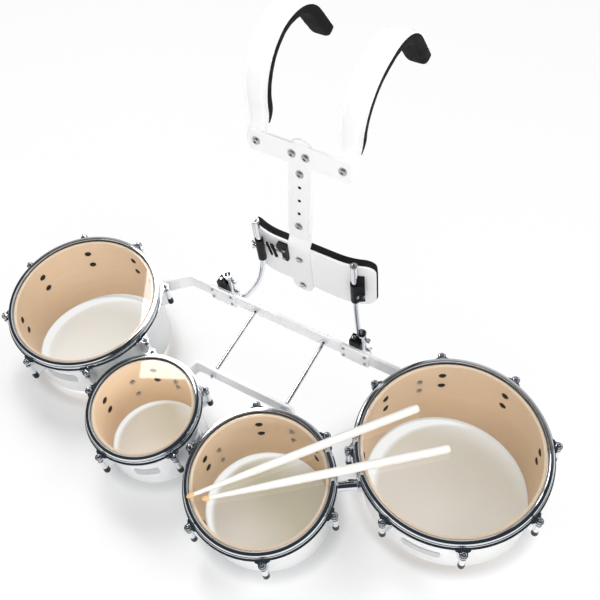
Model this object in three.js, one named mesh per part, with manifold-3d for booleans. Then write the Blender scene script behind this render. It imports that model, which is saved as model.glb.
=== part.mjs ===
// Marching tenor drums on a shoulder carrier.
//
// Four single-headed drums hang from two flat rails. Two hooked rods drop from the belly
// plate of the carrier and come up into the upright tubes behind the rear rail, so the
// player wears the drums in front. Everything is drawn in the drums' own frame: the hoop
// tops lie in the plane z = 0, +X runs along the rails and +Y points at the player. The
// outermost group then tips that frame until the slanted shell bottoms stand on the floor.
// All lengths are in millimetres.

import * as THREE from "three";
import { mergeVertices } from "three/addons/utils/BufferGeometryUtils.js";
import Module from "manifold-3d";

const wasm = await Module();
wasm.setup();
const deg = Math.PI / 180;

// Air between pieces that touch, and how far a cut runs past the face that it opens.
const clear = 0.3;
const overrun = 4;

// The floor as the drums see it: its depth below the hoop tops under the origin, and how
// much it falls for each unit toward the player.
const floorDepth = 161;
const floorFallShare = 0.22;

// The drums, from the viewer's left. A turn is counted in degrees from +X. The shell's
// bottom is cut on a slant that falls by slantShare toward slantTurn.
const drum12 = {
  name: "12",
  radius: 152.4,
  sides: 32,
  slantShare: 0.26,
  slantTurn: 115,
  lugTurns: [129, 84, 39, -6, -51, -96, -141, 174],
};
const drum8 = {
  name: "8",
  radius: 101.6,
  sides: 24,
  slantShare: floorFallShare,
  slantTurn: 90,
  lugTurns: [118, 46, -26, -98, -170],
};
const drum10 = {
  name: "10",
  x: 137,
  y: -8,
  radius: 127,
  sides: 28,
  slantShare: floorFallShare,
  slantTurn: 90,
  lugTurns: [123, 63, 3, -57, -117, -177],
};
const drum13 = {
  name: "13",
  radius: 165.1,
  sides: 36,
  slantShare: 0.26,
  slantTurn: 85,
  lugTurns: [119, 74, 29, -16, -61, -106, -151, 164],
};
const drums = [drum12, drum8, drum10, drum13];

// Each other drum is set off from its neighbour by a gap between the shells, in a direction
// counted as the turns are.
const apart = { gap8: 45.93, gap12: 43.61, gap13: 60.57 };
const apartTurn8 = 176.45;
const apartTurn12 = 151.28;
const apartTurn13 = 37.974;
function setOff(drum, from, gap, turn) {
  const reach = from.radius + gap + drum.radius;
  drum.x = from.x + reach * Math.cos(turn * deg);
  drum.y = from.y + reach * Math.sin(turn * deg);
}
setOff(drum8, drum10, apart.gap8, apartTurn8);
setOff(drum12, drum8, apart.gap12, apartTurn12);
setOff(drum13, drum10, apart.gap13, apartTurn13);

// Shell, head and hoop, shared by all the drums. Radii grow outward from the shell.
const shell = { ply: 6, edgeDepth: 14.6, edgeBevel: 4.2, edgeIn: 1.4, edgeRound: 1.6 };
const film = { thick: 0.6, gap: 0.9 };
const fleshHoop = { tall: 7, wide: 7.9 };
const hoop = { wall: 2.3, grow: 3.2, lip: 7.8, neck: 17.3, skirt: 12.7, foot: 4 };
const ear = { wide: 15, thick: 3, reach: 7, sides: 4 };

// Tension rods and the lugs that they screw into, on one circle round each shell.
const rodOut = 22;
const rod = { radius: 2.6, length: 20, head: 3, headTall: 9, collar: 5.4, collarTall: 1.6 };
const rodSides = 6;
const lug = { radius: 6.5, top: 36, length: 54 };
const lugFoot = { wide: 8, sides: 8 };

// Brackets that tie the small drum to its neighbours, and the tube to the largest one.
const bracket = { top: 62, tall: 66, web: 16, webTall: 50, pad: 34, padThick: 6, padDeep: 9 };
const bracketShift = 20;
const tube = { radius: 12, wall: 2, depth: 95, sides: 14 };
const flange = { radius: 17, thick: 4, collar: 8, collarWall: 2.6, deep: 9 };
const tubeTurn10 = 37;
const tubeTurn13 = 220.6;

// The two flat rails and the round rods between them.
const rail = { thick: 6, tall: 38, depth: 75, bend: 9, tab: 30 };
const rearRail = { y: 330, bendX: -253 };
const rearLegTurn = 222.7;
const rearTabTurn12 = 55;
const rearTabTurn13 = 135;
const frontRail = { y: 158, leftX: -121, rightX: 110, tab: 27 };
const frontTabTurn8 = 92;
const frontTabTurn10 = 92;
const frontLeftTurn = 257.2;
const frontRightTurn = 291.3;
const crossRod = { radius: 4.2, play: 0.6, out: 9, sides: 6 };
const crossRodXs = [-80, 87];
const nut = { radius: 7.6, thick: 5, sides: 6 };

// Receivers: upright tubes held off the back of the rear rail by a black block, with a
// white clamp plate in front. Their places are counted along the rail.
const receiver = { radius: 10, bore: 7, top: 20, length: 75, off: 18, sides: 12 };
const receiverXs = [-160, 162];
const receiverBlock = { left: 21, right: 5, back: 21, top: 38, tall: 54 };
const clampPlate = { wide: 64, tall: 46, thick: 4, round: 6, shift: -4 };

// Hooked rods. The long leg stands in the carrier's holder and the short one in a receiver.
const hook = { radius: 6, sides: 8, bottom: 112, tip: 40, cap: 7.6, capTall: 4 };
const hookScrew = { radius: 4, tall: 2.4 };

// Carrier: belly plate and its foam, from the middle of the plate outward.
const belly = { x: 15, half: 144, flat: 66, arc: 160, low: -20, high: 110, thick: 4.5, round: 24 };
const plateFront = 405;
const bellyPad = { thick: 15, past: 3, edgeShare: 0.62 };
const bellyPadColumnCount = 18;
const bellyPadRowCount = 4;

// The two overlapping spine bars. The lower one is upright on the plate, then leans.
const leanTurn = 10.6;
const bar = { wide: 48, thick: 5, bore: 3.4 };
const lowerBar = { low: -39, past: 4, joggle: 15, high: 345, bend: 5 };
const upperBar = { low: 135, high: 372, faceY: 412, faceZ: 163 };
const barPitch = 32;
const barHolesBelowCrossbar = 46;
const barHoleCount = 5;
const spineTravel = 32;
const bellyBoltZs = [72, -20];

// Crossbar and the shoulder straps that hang on it by one bolt each.
const crossbar = { wide: 212, tall: 46, thick: 5, round: 12, z: 342 };
const crossBoltX = 14;
const strapBoltInset = 17;
const strapBoltX = crossbar.wide / 2 - strapBoltInset;
const strap = { thick: 3, narrow: 42, wide: 48, low: 21, arc: 120, arcY: 584, arcZ: 402 };
const strapArcEnd = 30;
const strapTail = 95;
const strapSpread = 12.5;
const strapRound = 20;
const strapRise = { knee: 26, kneeOut: 1.5 };
const strapPad = { thick: 21, edgeShare: 0.7, from: 12, inset: 1 };

// Bolts of the carrier, all of one size.
const bolt = { radius: 3, head: 6.2, headTall: 3, washer: 8.6, washerThick: 1.4, nut: 6 };
const boltNutThick = 5;
const boltSides = 6;

// Holders on the belly plate, one for each hooked rod.
const holder = { radius: 9, bore: 7, sides: 12, y: 392 };
const leftHolder = { x: -88, low: 35, high: 102, barGap: 1.5, armLow: 60, armHigh: 103 };
leftHolder.armX = -bar.wide / 2 - leftHolder.barGap;
const rightHolder = { inset: 31, low: 21, high: 82, armInset: 8, armLow: 34, armHigh: 94 };
rightHolder.x = belly.x + belly.half - rightHolder.inset;
rightHolder.armX = belly.x + belly.half - rightHolder.armInset;
const holderArmFront = 386;

// The left holder stands off its block on a spindle that carries two flat levers.
const leftBlock = { wide: 24, foot: 12, shoulder: 11, slope: 12 };
const spindle = { radius: 5, drop: 22 };
const lever = { tall: 41, deep: 8, thin: 2.5, thick: 4.5, thinOff: 21, thickOff: 31 };
const armFromShare = 0.9;
const hookPast = 57;
const hookSteps = 26;

// Wing screws that pinch the hooked rods.
const wing = { shank: 2.5, hub: 4.6, hubLong: 9, span: 13, tall: 9, thick: 3, play: 0.5 };
const wingSides = 6;
const receiverWingDepth = 78;
const receiverKnobDepth = 40;
const knob = { radius: 5.2, long: 8 };
const holderWingZ = 71;
const rightBolt = { inset: 16, z: 45 };
rightBolt.x = belly.x + belly.half - rightBolt.inset;

// Drumsticks, lying across the hoops.
const stick = { length: 450, radius: 8, sides: 10 };
const stickLengthShares = [0, 0.004, 0.012, 0.026, 0.038, 0.06, 0.3, 0.55, 0.985, 1];
const stickRadiusShares = [0.2, 0.5, 0.64, 0.6, 0.42, 0.46, 0.9, 1, 1, 0.7];
const upperStick = { tipX: 43, tipY: -101, buttX: 336, buttY: 245 };
const lowerStick = { tipX: 70, tipY: -92, buttX: 414, buttY: 197 };

// Materials as they look in the photograph.
function look(color, roughness, metalness) {
  return new THREE.MeshStandardMaterial({ color, roughness, metalness, flatShading: true });
}
const wood = look(0xd9b48a, 0.55, 0);
const clearFilm = look(0xe9e6df, 0.2, 0);
const chrome = look(0xd5d8dc, 0.12, 1);
const alloy = look(0xb9bdc2, 0.35, 1);
const whitePaint = look(0xf2f2f0, 0.35, 0);
const blackPaint = look(0x1b1b1d, 0.5, 0);
const blackFoam = look(0x17181a, 0.95, 0);
const whiteWood = look(0xf1eee6, 0.4, 0);

// A point at a turn and a distance from a centre, in the plane of the hoops.
function polar(x, y, distance, turn) {
  return new THREE.Vector2(x + distance * Math.cos(turn * deg), y + distance * Math.sin(turn * deg));
}

// One closed body: shared corners merged, flat slivers dropped and the faces turned outward.
function closedBody(geometry) {
  const plain = geometry.clone();
  plain.deleteAttribute("normal");
  plain.deleteAttribute("uv");
  const merged = mergeVertices(plain);
  const place = merged.getAttribute("position");
  const corners = [];
  let volume = 0;
  const a = new THREE.Vector3();
  const b = new THREE.Vector3();
  const c = new THREE.Vector3();
  for (let i = 0; i < merged.index.count; i += 3) {
    const face = [merged.index.getX(i), merged.index.getX(i + 1), merged.index.getX(i + 2)];
    if (face[0] === face[1] || face[1] === face[2] || face[2] === face[0]) continue;
    a.fromBufferAttribute(place, face[0]);
    b.fromBufferAttribute(place, face[1]);
    c.fromBufferAttribute(place, face[2]);
    volume += a.dot(b.cross(c));
    corners.push(face);
  }
  merged.setIndex(corners.flatMap((face) => (volume < 0 ? [face[0], face[2], face[1]] : face)));
  return merged;
}

function toSolid(geometry) {
  const body = closedBody(geometry);
  const vertProperties = new Float32Array(body.getAttribute("position").array);
  const triVerts = new Uint32Array(body.index.array);
  return new wasm.Manifold(new wasm.Mesh({ numProp: 3, vertProperties, triVerts }));
}

function fromSolid(solid) {
  const mesh = solid.getMesh();
  const geometry = new THREE.BufferGeometry();
  geometry.setAttribute("position", new THREE.BufferAttribute(mesh.vertProperties, 3));
  geometry.setIndex(new THREE.BufferAttribute(mesh.triVerts, 1));
  return geometry;
}

function join(...geometries) {
  return fromSolid(geometries.map(toSolid).reduce((whole, piece) => whole.add(piece)));
}

function cut(base, ...tools) {
  return fromSolid(tools.map(toSolid).reduce((whole, tool) => whole.subtract(tool), toSolid(base)));
}

function common(first, second) {
  return fromSolid(toSolid(first).intersect(toSolid(second)));
}

// A turned piece: [radius, height] corners swept round the Z axis.
function turned(profile, sides) {
  const points = profile.map(([radius, height]) => new THREE.Vector2(radius, height));
  return closedBody(new THREE.LatheGeometry(points, sides).rotateX(Math.PI / 2));
}

// How large a many-sided hole has to be for a round pin of this radius.
function roundPin(radius, sides) {
  return radius / Math.cos(Math.PI / sides);
}

function cylinder(radius, low, high, sides) {
  return turned([[0, low], [radius, low], [radius, high], [0, high]], sides);
}

function boxBetween(x0, x1, y0, y1, z0, z1) {
  const box = new THREE.BoxGeometry(x1 - x0, y1 - y0, z1 - z0);
  return closedBody(box.translate((x0 + x1) / 2, (y0 + y1) / 2, (z0 + z1) / 2));
}

function circlePoints(radius, sides) {
  return Array.from({ length: sides }, (_, i) => {
    const turn = (2 * Math.PI * (i + 0.5)) / sides;
    return new THREE.Vector2(radius * Math.cos(turn), radius * Math.sin(turn));
  });
}

// A rounded rectangle about the origin.
function roundedRect(wide, tall, round, steps = 4) {
  const shape = [];
  const corners = [[1, 1], [-1, 1], [-1, -1], [1, -1]];
  corners.forEach(([sx, sy], k) => {
    for (let i = 0; i <= steps; i += 1) {
      const turn = (k + i / steps) * 90 * deg;
      shape.push(new THREE.Vector2(
        sx * (wide / 2 - round) + round * Math.cos(turn),
        sy * (tall / 2 - round) + round * Math.sin(turn),
      ));
    }
  });
  return new THREE.Shape(shape);
}

// A plate cut from a shape, from z = low to z = high.
function plate(shape, low, high) {
  const slab = new THREE.ExtrudeGeometry(shape, { depth: high - low, bevelEnabled: false });
  return closedBody(slab.translate(0, 0, low));
}

function withHoles(shape, centres, radius, sides = 8) {
  for (const centre of centres) {
    const ring = circlePoints(radius, sides).map((p) => p.add(centre));
    shape.holes.push(new THREE.Path(ring.reverse()));
  }
  return shape;
}

// A bent flat strip seen on its edge: the corners of its middle line are rounded, and the
// outline runs half the thickness to either side of it.
function roundedLine(corners, round, steps = 3) {
  const line = [corners[0]];
  for (let i = 1; i < corners.length - 1; i += 1) {
    const before = corners[i - 1].clone().sub(corners[i]).normalize();
    const after = corners[i + 1].clone().sub(corners[i]).normalize();
    const start = corners[i].clone().addScaledVector(before, round);
    const end = corners[i].clone().addScaledVector(after, round);
    const curve = new THREE.QuadraticBezierCurve(start, corners[i], end);
    line.push(...curve.getPoints(steps));
  }
  line.push(corners[corners.length - 1]);
  return line;
}

function sideLine(line, offset) {
  return line.map((point, i) => {
    const before = line[Math.max(i - 1, 0)];
    const after = line[Math.min(i + 1, line.length - 1)];
    const into = point.clone().sub(before).normalize();
    const out = after.clone().sub(point).normalize();
    const along = into.add(out).normalize();
    const half = i > 0 && i < line.length - 1
      ? Math.max(along.dot(after.clone().sub(point).normalize()), 0.5)
      : 1;
    return new THREE.Vector2(point.x - (along.y * offset) / half, point.y + (along.x * offset) / half);
  });
}

function stripShape(line, right, left) {
  return new THREE.Shape([...sideLine(line, right), ...sideLine(line, left).reverse()]);
}

// A closed body between two grids of points. Each is an array of rows of Vector3, and the
// first grid is the outer face.
function between(outer, inner) {
  const rows = outer.length;
  const columns = outer[0].length;
  const points = [...outer.flat(), ...inner.flat()];
  const faces = [];
  const far = rows * columns;
  const at = (side, i, j) => side * far + i * columns + j;
  const quad = (a, b, c, d) => faces.push(a, b, c, a, c, d);
  for (let i = 0; i < rows - 1; i += 1) {
    for (let j = 0; j < columns - 1; j += 1) {
      quad(at(0, i, j), at(0, i, j + 1), at(0, i + 1, j + 1), at(0, i + 1, j));
      quad(at(1, i, j), at(1, i + 1, j), at(1, i + 1, j + 1), at(1, i, j + 1));
    }
    quad(at(0, i, 0), at(0, i + 1, 0), at(1, i + 1, 0), at(1, i, 0));
    const end = columns - 1;
    quad(at(0, i, end), at(1, i, end), at(1, i + 1, end), at(0, i + 1, end));
  }
  const last = rows - 1;
  for (let j = 0; j < columns - 1; j += 1) {
    quad(at(0, 0, j), at(1, 0, j), at(1, 0, j + 1), at(0, 0, j + 1));
    quad(at(0, last, j), at(0, last, j + 1), at(1, last, j + 1), at(1, last, j));
  }
  const geometry = new THREE.BufferGeometry().setFromPoints(points);
  geometry.setIndex(faces);
  return closedBody(geometry);
}

const instrument = new THREE.Group();

function put(name, geometry, material, parent = instrument) {
  const body = closedBody(geometry);
  body.computeVertexNormals();
  const mesh = new THREE.Mesh(body, material);
  mesh.name = name;
  parent.add(mesh);
  return mesh;
}

// Where a shell's bottom plane lies under its centre. The two drums whose slant is the
// floor's own stand flat on it, and the others touch it with their lowest point.
function centreDepth(drum) {
  const along = drum.slantShare * Math.cos(drum.slantTurn * deg);
  const across = drum.slantShare * Math.sin(drum.slantTurn * deg) - floorFallShare;
  return floorDepth + floorFallShare * drum.y - drum.radius * Math.hypot(along, across);
}

function shellBody(drum) {
  const inner = drum.radius - shell.ply;
  const top = -shell.edgeDepth;
  const bottom = -centreDepth(drum);
  const body = turned([
    [drum.radius, bottom],
    [drum.radius, top - shell.edgeRound],
    [drum.radius - shell.edgeIn, top],
    [inner, top - shell.edgeBevel],
    [inner, bottom],
    [drum.radius, bottom],
  ], drum.sides);
  const place = body.getAttribute("position");
  for (let i = 0; i < place.count; i += 1) {
    if (place.getZ(i) > bottom + shell.ply) continue;
    const reach = place.getX(i) * Math.cos(drum.slantTurn * deg)
      + place.getY(i) * Math.sin(drum.slantTurn * deg);
    place.setZ(i, bottom - drum.slantShare * reach);
  }
  return body;
}

// The head: a clear film over the shell's edge, bonded into the flesh hoop round it.
function headBody(drum) {
  const under = -shell.edgeDepth + clear;
  const inner = drum.radius + film.gap;
  const ringTop = -hoop.neck - clear;
  return turned([
    [0, under + film.thick],
    [inner + film.thick, under + film.thick],
    [inner + film.thick, ringTop],
    [inner + film.thick + fleshHoop.wide, ringTop],
    [inner + film.thick + fleshHoop.wide, ringTop - fleshHoop.tall],
    [inner, ringTop - fleshHoop.tall],
    [inner, under],
    [0, under],
  ], drum.sides);
}

// The counter hoop: a lip, a neck, a step over the flesh hoop and a foot that carries an
// ear for every tension rod.
const earTop = -hoop.neck - hoop.skirt + (hoop.wall + ear.thick) / 2;
const skirtOut = film.gap + film.thick + fleshHoop.wide + clear;
function hoopBody(drum) {
  const neck = drum.radius + hoop.grow;
  const skirt = drum.radius + skirtOut;
  const bottom = -hoop.neck - hoop.skirt;
  const ring = turned([
    [neck, 0],
    [neck, -hoop.neck],
    [skirt, -hoop.neck],
    [skirt, bottom],
    [skirt + hoop.wall + hoop.foot, bottom],
    [skirt + hoop.wall + hoop.foot, bottom + hoop.wall],
    [skirt + hoop.wall, bottom + hoop.wall],
    [skirt + hoop.wall, hoop.wall - hoop.neck],
    [neck + hoop.wall, hoop.wall - hoop.neck],
    [neck + hoop.wall, -hoop.wall],
    [neck + hoop.lip, -hoop.wall],
    [neck + hoop.lip, 0],
    [neck, 0],
  ], drum.sides);
  const inside = skirt + hoop.wall / 2 - drum.radius;
  const tab = new THREE.Shape();
  tab.moveTo(inside, -ear.wide / 2);
  tab.lineTo(rodOut, -ear.wide / 2);
  for (let i = 0; i <= ear.sides; i += 1) {
    const turn = (i / ear.sides - 0.5) * Math.PI;
    tab.lineTo(rodOut + ear.reach * Math.cos(turn), (ear.wide / 2) * Math.sin(turn));
  }
  tab.lineTo(inside, ear.wide / 2);
  const low = bottom + (hoop.wall - ear.thick) / 2;
  const station = join(plate(tab, low, low + ear.thick), rodBody(), lugBody());
  const stations = drum.lugTurns.map((turn) =>
    station.clone().translate(drum.radius, 0, 0).rotateZ(turn * deg));
  return join(ring, ...stations);
}

// A tension rod: its collar bears on the ear, and its foot is run home in the lug.
function rodBody() {
  const seat = earTop;
  return turned([
    [0, seat - rod.length],
    [rod.radius, seat - rod.length],
    [rod.radius, seat],
    [rod.collar, seat],
    [rod.collar, seat + rod.collarTall],
    [rod.head, seat + rod.collarTall],
    [rod.head, seat + rod.headTall],
    [0, seat + rod.headTall],
  ], rodSides).translate(rodOut, 0, 0);
}

// A lug: an upright barrel on one long foot.
function lugBody() {
  const bottom = -lug.top - lug.length;
  const barrel = cylinder(lug.radius, bottom, -lug.top, lugFoot.sides);
  const half = lugFoot.wide / 2;
  const foot = boxBetween(clear - rodOut, 0, -half, half, bottom + clear, -lug.top - clear);
  return join(barrel, foot).translate(rodOut, 0, 0);
}

for (const drum of drums) {
  const place = new THREE.Group();
  place.position.set(drum.x, drum.y, 0);
  instrument.add(place);
  put(`shell_${drum.name}`, shellBody(drum), wood, place);
  put(`head_${drum.name}`, headBody(drum), clearFilm, place);
  put(`hoop_and_lugs_${drum.name}`, hoopBody(drum), chrome, place);
}

// A round shell with its clearance, for fitting a bracket against it.
function shellTool(drum) {
  const low = -floorDepth - drum.radius;
  return cylinder(drum.radius + clear, low, 0, drum.sides).translate(drum.x, drum.y, 0);
}

// A bracket between two shells: a pad on each, hollowed to the shell, and a web between.
function bracketBody(from, to, shift) {
  const span = Math.hypot(to.x - from.x, to.y - from.y);
  const turn = Math.atan2(to.y - from.y, to.x - from.x);
  const start = Math.sqrt(from.radius ** 2 - shift ** 2);
  const end = span - Math.sqrt(to.radius ** 2 - shift ** 2);
  const half = bracket.pad / 2;
  const low = -bracket.top - bracket.tall;
  const webLow = low + (bracket.tall - bracket.webTall) / 2;
  const y0 = shift - half;
  const y1 = shift + half;
  const body = join(
    boxBetween(start - bracket.padDeep, start + bracket.padThick, y0, y1, low, -bracket.top),
    boxBetween(end - bracket.padThick, end + bracket.padDeep, y0, y1, low, -bracket.top),
    boxBetween(
      start + bracket.padThick / 2,
      end - bracket.padThick / 2,
      shift - bracket.web / 2,
      shift + bracket.web / 2,
      webLow,
      webLow + bracket.webTall,
    ),
  ).rotateZ(turn).translate(from.x, from.y, 0);
  return cut(body, shellTool(from), shellTool(to));
}
put("bracket_12_to_8", bracketBody(drum12, drum8, 0), alloy);
put("bracket_8_to_10", bracketBody(drum8, drum10, bracketShift), alloy);

// The tube to the largest drum, between two flanges with a socket each.
{
  const start = polar(drum10.x, drum10.y, drum10.radius + clear, tubeTurn10);
  const end = polar(drum13.x, drum13.y, drum13.radius + clear, tubeTurn13);
  const run = end.clone().sub(start);
  const turn = run.angle();
  const socket = flange.thick + clear;
  const inner = tube.radius - tube.wall;
  const along = (geometry, origin, heading) =>
    geometry.rotateY(Math.PI / 2).rotateZ(heading).translate(origin.x, origin.y, -tube.depth);
  const body = turned([
    [inner, socket],
    [tube.radius, socket],
    [tube.radius, run.length() - socket],
    [inner, run.length() - socket],
    [inner, socket],
  ], tube.sides);
  put("tube_10_to_13", along(body, start, turn), chrome);
  const bore = tube.radius + clear;
  const one = turned([
    [0, -flange.deep],
    [flange.radius, -flange.deep],
    [flange.radius, flange.thick],
    [bore + flange.collarWall, flange.thick],
    [bore + flange.collarWall, flange.thick + flange.collar],
    [bore, flange.thick + flange.collar],
    [bore, flange.thick],
    [0, flange.thick],
  ], tube.sides);
  const first = cut(along(one.clone(), start, turn), shellTool(drum10));
  const second = cut(along(one.clone(), end, turn + Math.PI), shellTool(drum13));
  put("tube_flange_10", first, alloy);
  put("tube_flange_13", second, alloy);
}

// Where a straight leg meets the flat tab that lies against a shell at a given turn.
function meetShell(from, heading, drum, turn) {
  const nx = Math.cos(turn * deg);
  const ny = Math.sin(turn * deg);
  const reach = drum.radius + clear + rail.thick / 2;
  const gone = (from.x - drum.x) * nx + (from.y - drum.y) * ny;
  const speed = Math.cos(heading * deg) * nx + Math.sin(heading * deg) * ny;
  return polar(from.x, from.y, (reach - gone) / speed, heading);
}

const railTop = -rail.depth + rail.tall / 2;
const railBottom = -rail.depth - rail.tall / 2;
function railBody(corners, y) {
  const line = roundedLine(corners, rail.bend);
  const body = plate(stripShape(line, rail.thick / 2, -rail.thick / 2), railBottom, railTop);
  const hole = crossRod.radius + crossRod.play;
  const holes = crossRodXs.map((x) =>
    cylinder(hole, -overrun - rail.thick / 2, rail.thick / 2 + overrun, crossRod.sides)
      .rotateX(Math.PI / 2)
      .translate(x, y, -rail.depth));
  return cut(body, ...holes);
}
{
  const bend = new THREE.Vector2(rearRail.bendX, rearRail.y);
  const left = meetShell(bend, rearLegTurn, drum12, rearTabTurn12);
  const right = meetShell(bend, 0, drum13, rearTabTurn13);
  put("rear_rail", railBody([
    polar(left.x, left.y, rail.tab, rearTabTurn12 + 90),
    left,
    bend,
    right,
    polar(right.x, right.y, rail.tab, rearTabTurn13 - 90),
  ], rearRail.y), whitePaint);
}
{
  const leftBend = new THREE.Vector2(frontRail.leftX, frontRail.y);
  const rightBend = new THREE.Vector2(frontRail.rightX, frontRail.y);
  const left = meetShell(leftBend, frontLeftTurn, drum8, frontTabTurn8);
  const right = meetShell(rightBend, frontRightTurn, drum10, frontTabTurn10);
  put("front_rail", railBody([
    polar(left.x, left.y, frontRail.tab, frontTabTurn8 + 90),
    left,
    leftBend,
    rightBend,
    right,
    polar(right.x, right.y, frontRail.tab, frontTabTurn10 - 90),
  ], frontRail.y), whitePaint);
}

// Two round rods hold the rails apart, each with a nut run tight on both faces of both
// rails.
{
  const half = rail.thick / 2;
  const low = frontRail.y - half - crossRod.out;
  const high = rearRail.y + half + crossRod.out;
  const onAxis = (geometry, x) => geometry.rotateX(-Math.PI / 2).translate(x, 0, -rail.depth);
  const nutBody = (from) => cylinder(nut.radius, from, from + nut.thick, nut.sides);
  const seats = [frontRail.y, rearRail.y].flatMap((y) =>
    [y - half - clear - nut.thick, y + half + clear]);
  const core = join(cylinder(crossRod.radius, low, high, crossRod.sides), ...seats.map(nutBody));
  put("cross_rod_left", onAxis(core.clone(), crossRodXs[0]), chrome);
  put("cross_rod_right", onAxis(core.clone(), crossRodXs[1]), chrome);
}

// A wing screw along +X, with the end of its shank at the origin.
function wingScrew(shankLong) {
  const shank = cylinder(wing.shank, 0, shankLong + wing.hubLong / 2, wingSides);
  const hub = cylinder(wing.hub, shankLong, shankLong + wing.hubLong, wingSides);
  const blade = new THREE.Shape();
  const from = shankLong + wing.hubLong / 3;
  blade.moveTo(0, from);
  blade.lineTo(wing.hub, from);
  blade.lineTo(wing.span, from + wing.tall / 2);
  blade.lineTo(wing.span, from + wing.tall);
  blade.lineTo(wing.hub, from + wing.tall / 2);
  blade.lineTo(-wing.hub, from + wing.tall / 2);
  blade.lineTo(-wing.span, from + wing.tall);
  blade.lineTo(-wing.span, from + wing.tall / 2);
  blade.lineTo(-wing.hub, from);
  const blades = plate(blade, -wing.thick / 2, wing.thick / 2).rotateX(Math.PI / 2);
  return join(shank, hub, blades).rotateY(Math.PI / 2);
}

// Receivers behind the rear rail.
const railBack = rearRail.y + rail.thick / 2;
const railFront = rearRail.y - rail.thick / 2;
const receiverY = railBack + receiver.off;
const receiverLow = -receiver.top - receiver.length;
["left", "right"].forEach((side, k) => {
  const x = receiverXs[k];
  const place = new THREE.Group();
  place.position.set(x, receiverY, 0);
  instrument.add(place);
  const shankHole = (depth) =>
    cylinder(roundPin(wing.shank + clear, wingSides), 0, receiver.radius + overrun, wingSides)
      .rotateY(Math.PI / 2)
      .translate(0, 0, -depth);
  const pipe = turned([
    [receiver.bore, receiverLow],
    [receiver.radius, receiverLow],
    [receiver.radius, -receiver.top],
    [receiver.bore, -receiver.top],
    [receiver.bore, receiverLow],
  ], receiver.sides);
  put(`receiver_tube_${side}`,
    cut(pipe, shankHole(receiverWingDepth), shankHole(receiverKnobDepth)), chrome, place);
  const block = boxBetween(
    -receiverBlock.left,
    receiverBlock.right,
    clear - receiver.off,
    receiverBlock.back - receiver.off,
    -receiverBlock.top - receiverBlock.tall,
    -receiverBlock.top,
  );
  const round = cylinder(receiver.radius + clear, receiverLow - overrun, 0, receiver.sides);
  put(`receiver_block_${side}`, cut(block, round), blackPaint, place);
  const shankFrom = hook.radius + wing.play;
  const shankLong = receiver.radius + wing.play - shankFrom;
  const screw = put(`receiver_wing_screw_${side}`, wingScrew(shankLong), chrome, place);
  screw.position.set(shankFrom, 0, -receiverWingDepth);
  const knobBody = join(
    cylinder(wing.shank, 0, shankLong + knob.long / 2, wingSides),
    cylinder(knob.radius, shankLong, shankLong + knob.long, wingSides),
  ).rotateY(Math.PI / 2);
  const stud = put(`receiver_knob_${side}`, knobBody, chrome, place);
  stud.position.set(shankFrom, 0, -receiverKnobDepth);
  const front = plate(
    roundedRect(clampPlate.wide, clampPlate.tall, clampPlate.round, 2), 0, clampPlate.thick);
  const cover = put(`clamp_plate_${side}`, front.rotateX(Math.PI / 2), whitePaint, place);
  cover.position.set(clampPlate.shift, railFront - clear - receiverY, -rail.depth);
});

// The belly plate seen from above: flat in the middle, then curving back round the player.
function bellyLine(offset) {
  const line = [];
  const steps = 7;
  const sweep = Math.asin((belly.half - belly.flat) / belly.arc);
  const radius = belly.arc - offset;
  for (let i = 0; i <= steps; i += 1) {
    const turn = sweep * (1 - i / steps);
    line.push(new THREE.Vector2(
      belly.x - belly.flat - radius * Math.sin(turn),
      plateFront + belly.arc - radius * Math.cos(turn),
    ));
  }
  const mirrored = line.map(({ x, y }) => new THREE.Vector2(2 * belly.x - x, y)).reverse();
  return [...line, ...mirrored];
}

const bellyTall = belly.high - belly.low;
const bellyMid = (belly.high + belly.low) / 2;
function bellyOutline(past) {
  const deep = 2 * belly.arc;
  const outline = plate(
    roundedRect(2 * (belly.half + past), bellyTall + 2 * past, belly.round + past), -deep, 0);
  return outline.rotateX(Math.PI / 2).translate(belly.x, plateFront - overrun - past, bellyMid);
}
function boltHole(x, y, z, tilt) {
  const long = bar.thick + belly.thick + overrun;
  return cylinder(bar.bore, -long, long, boltSides)
    .rotateX(Math.PI / 2 - tilt)
    .translate(x, y, z);
}
{
  const curve = new THREE.Shape([...bellyLine(0), ...bellyLine(belly.thick).reverse()]);
  const body = common(plate(curve, belly.low, belly.high), bellyOutline(0));
  const holes = bellyBoltZs
    .filter((z) => z > belly.low + bar.bore)
    .map((z) => boltHole(0, plateFront, z, 0));
  put("belly_plate", cut(body, ...holes), whitePaint);
}

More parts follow.
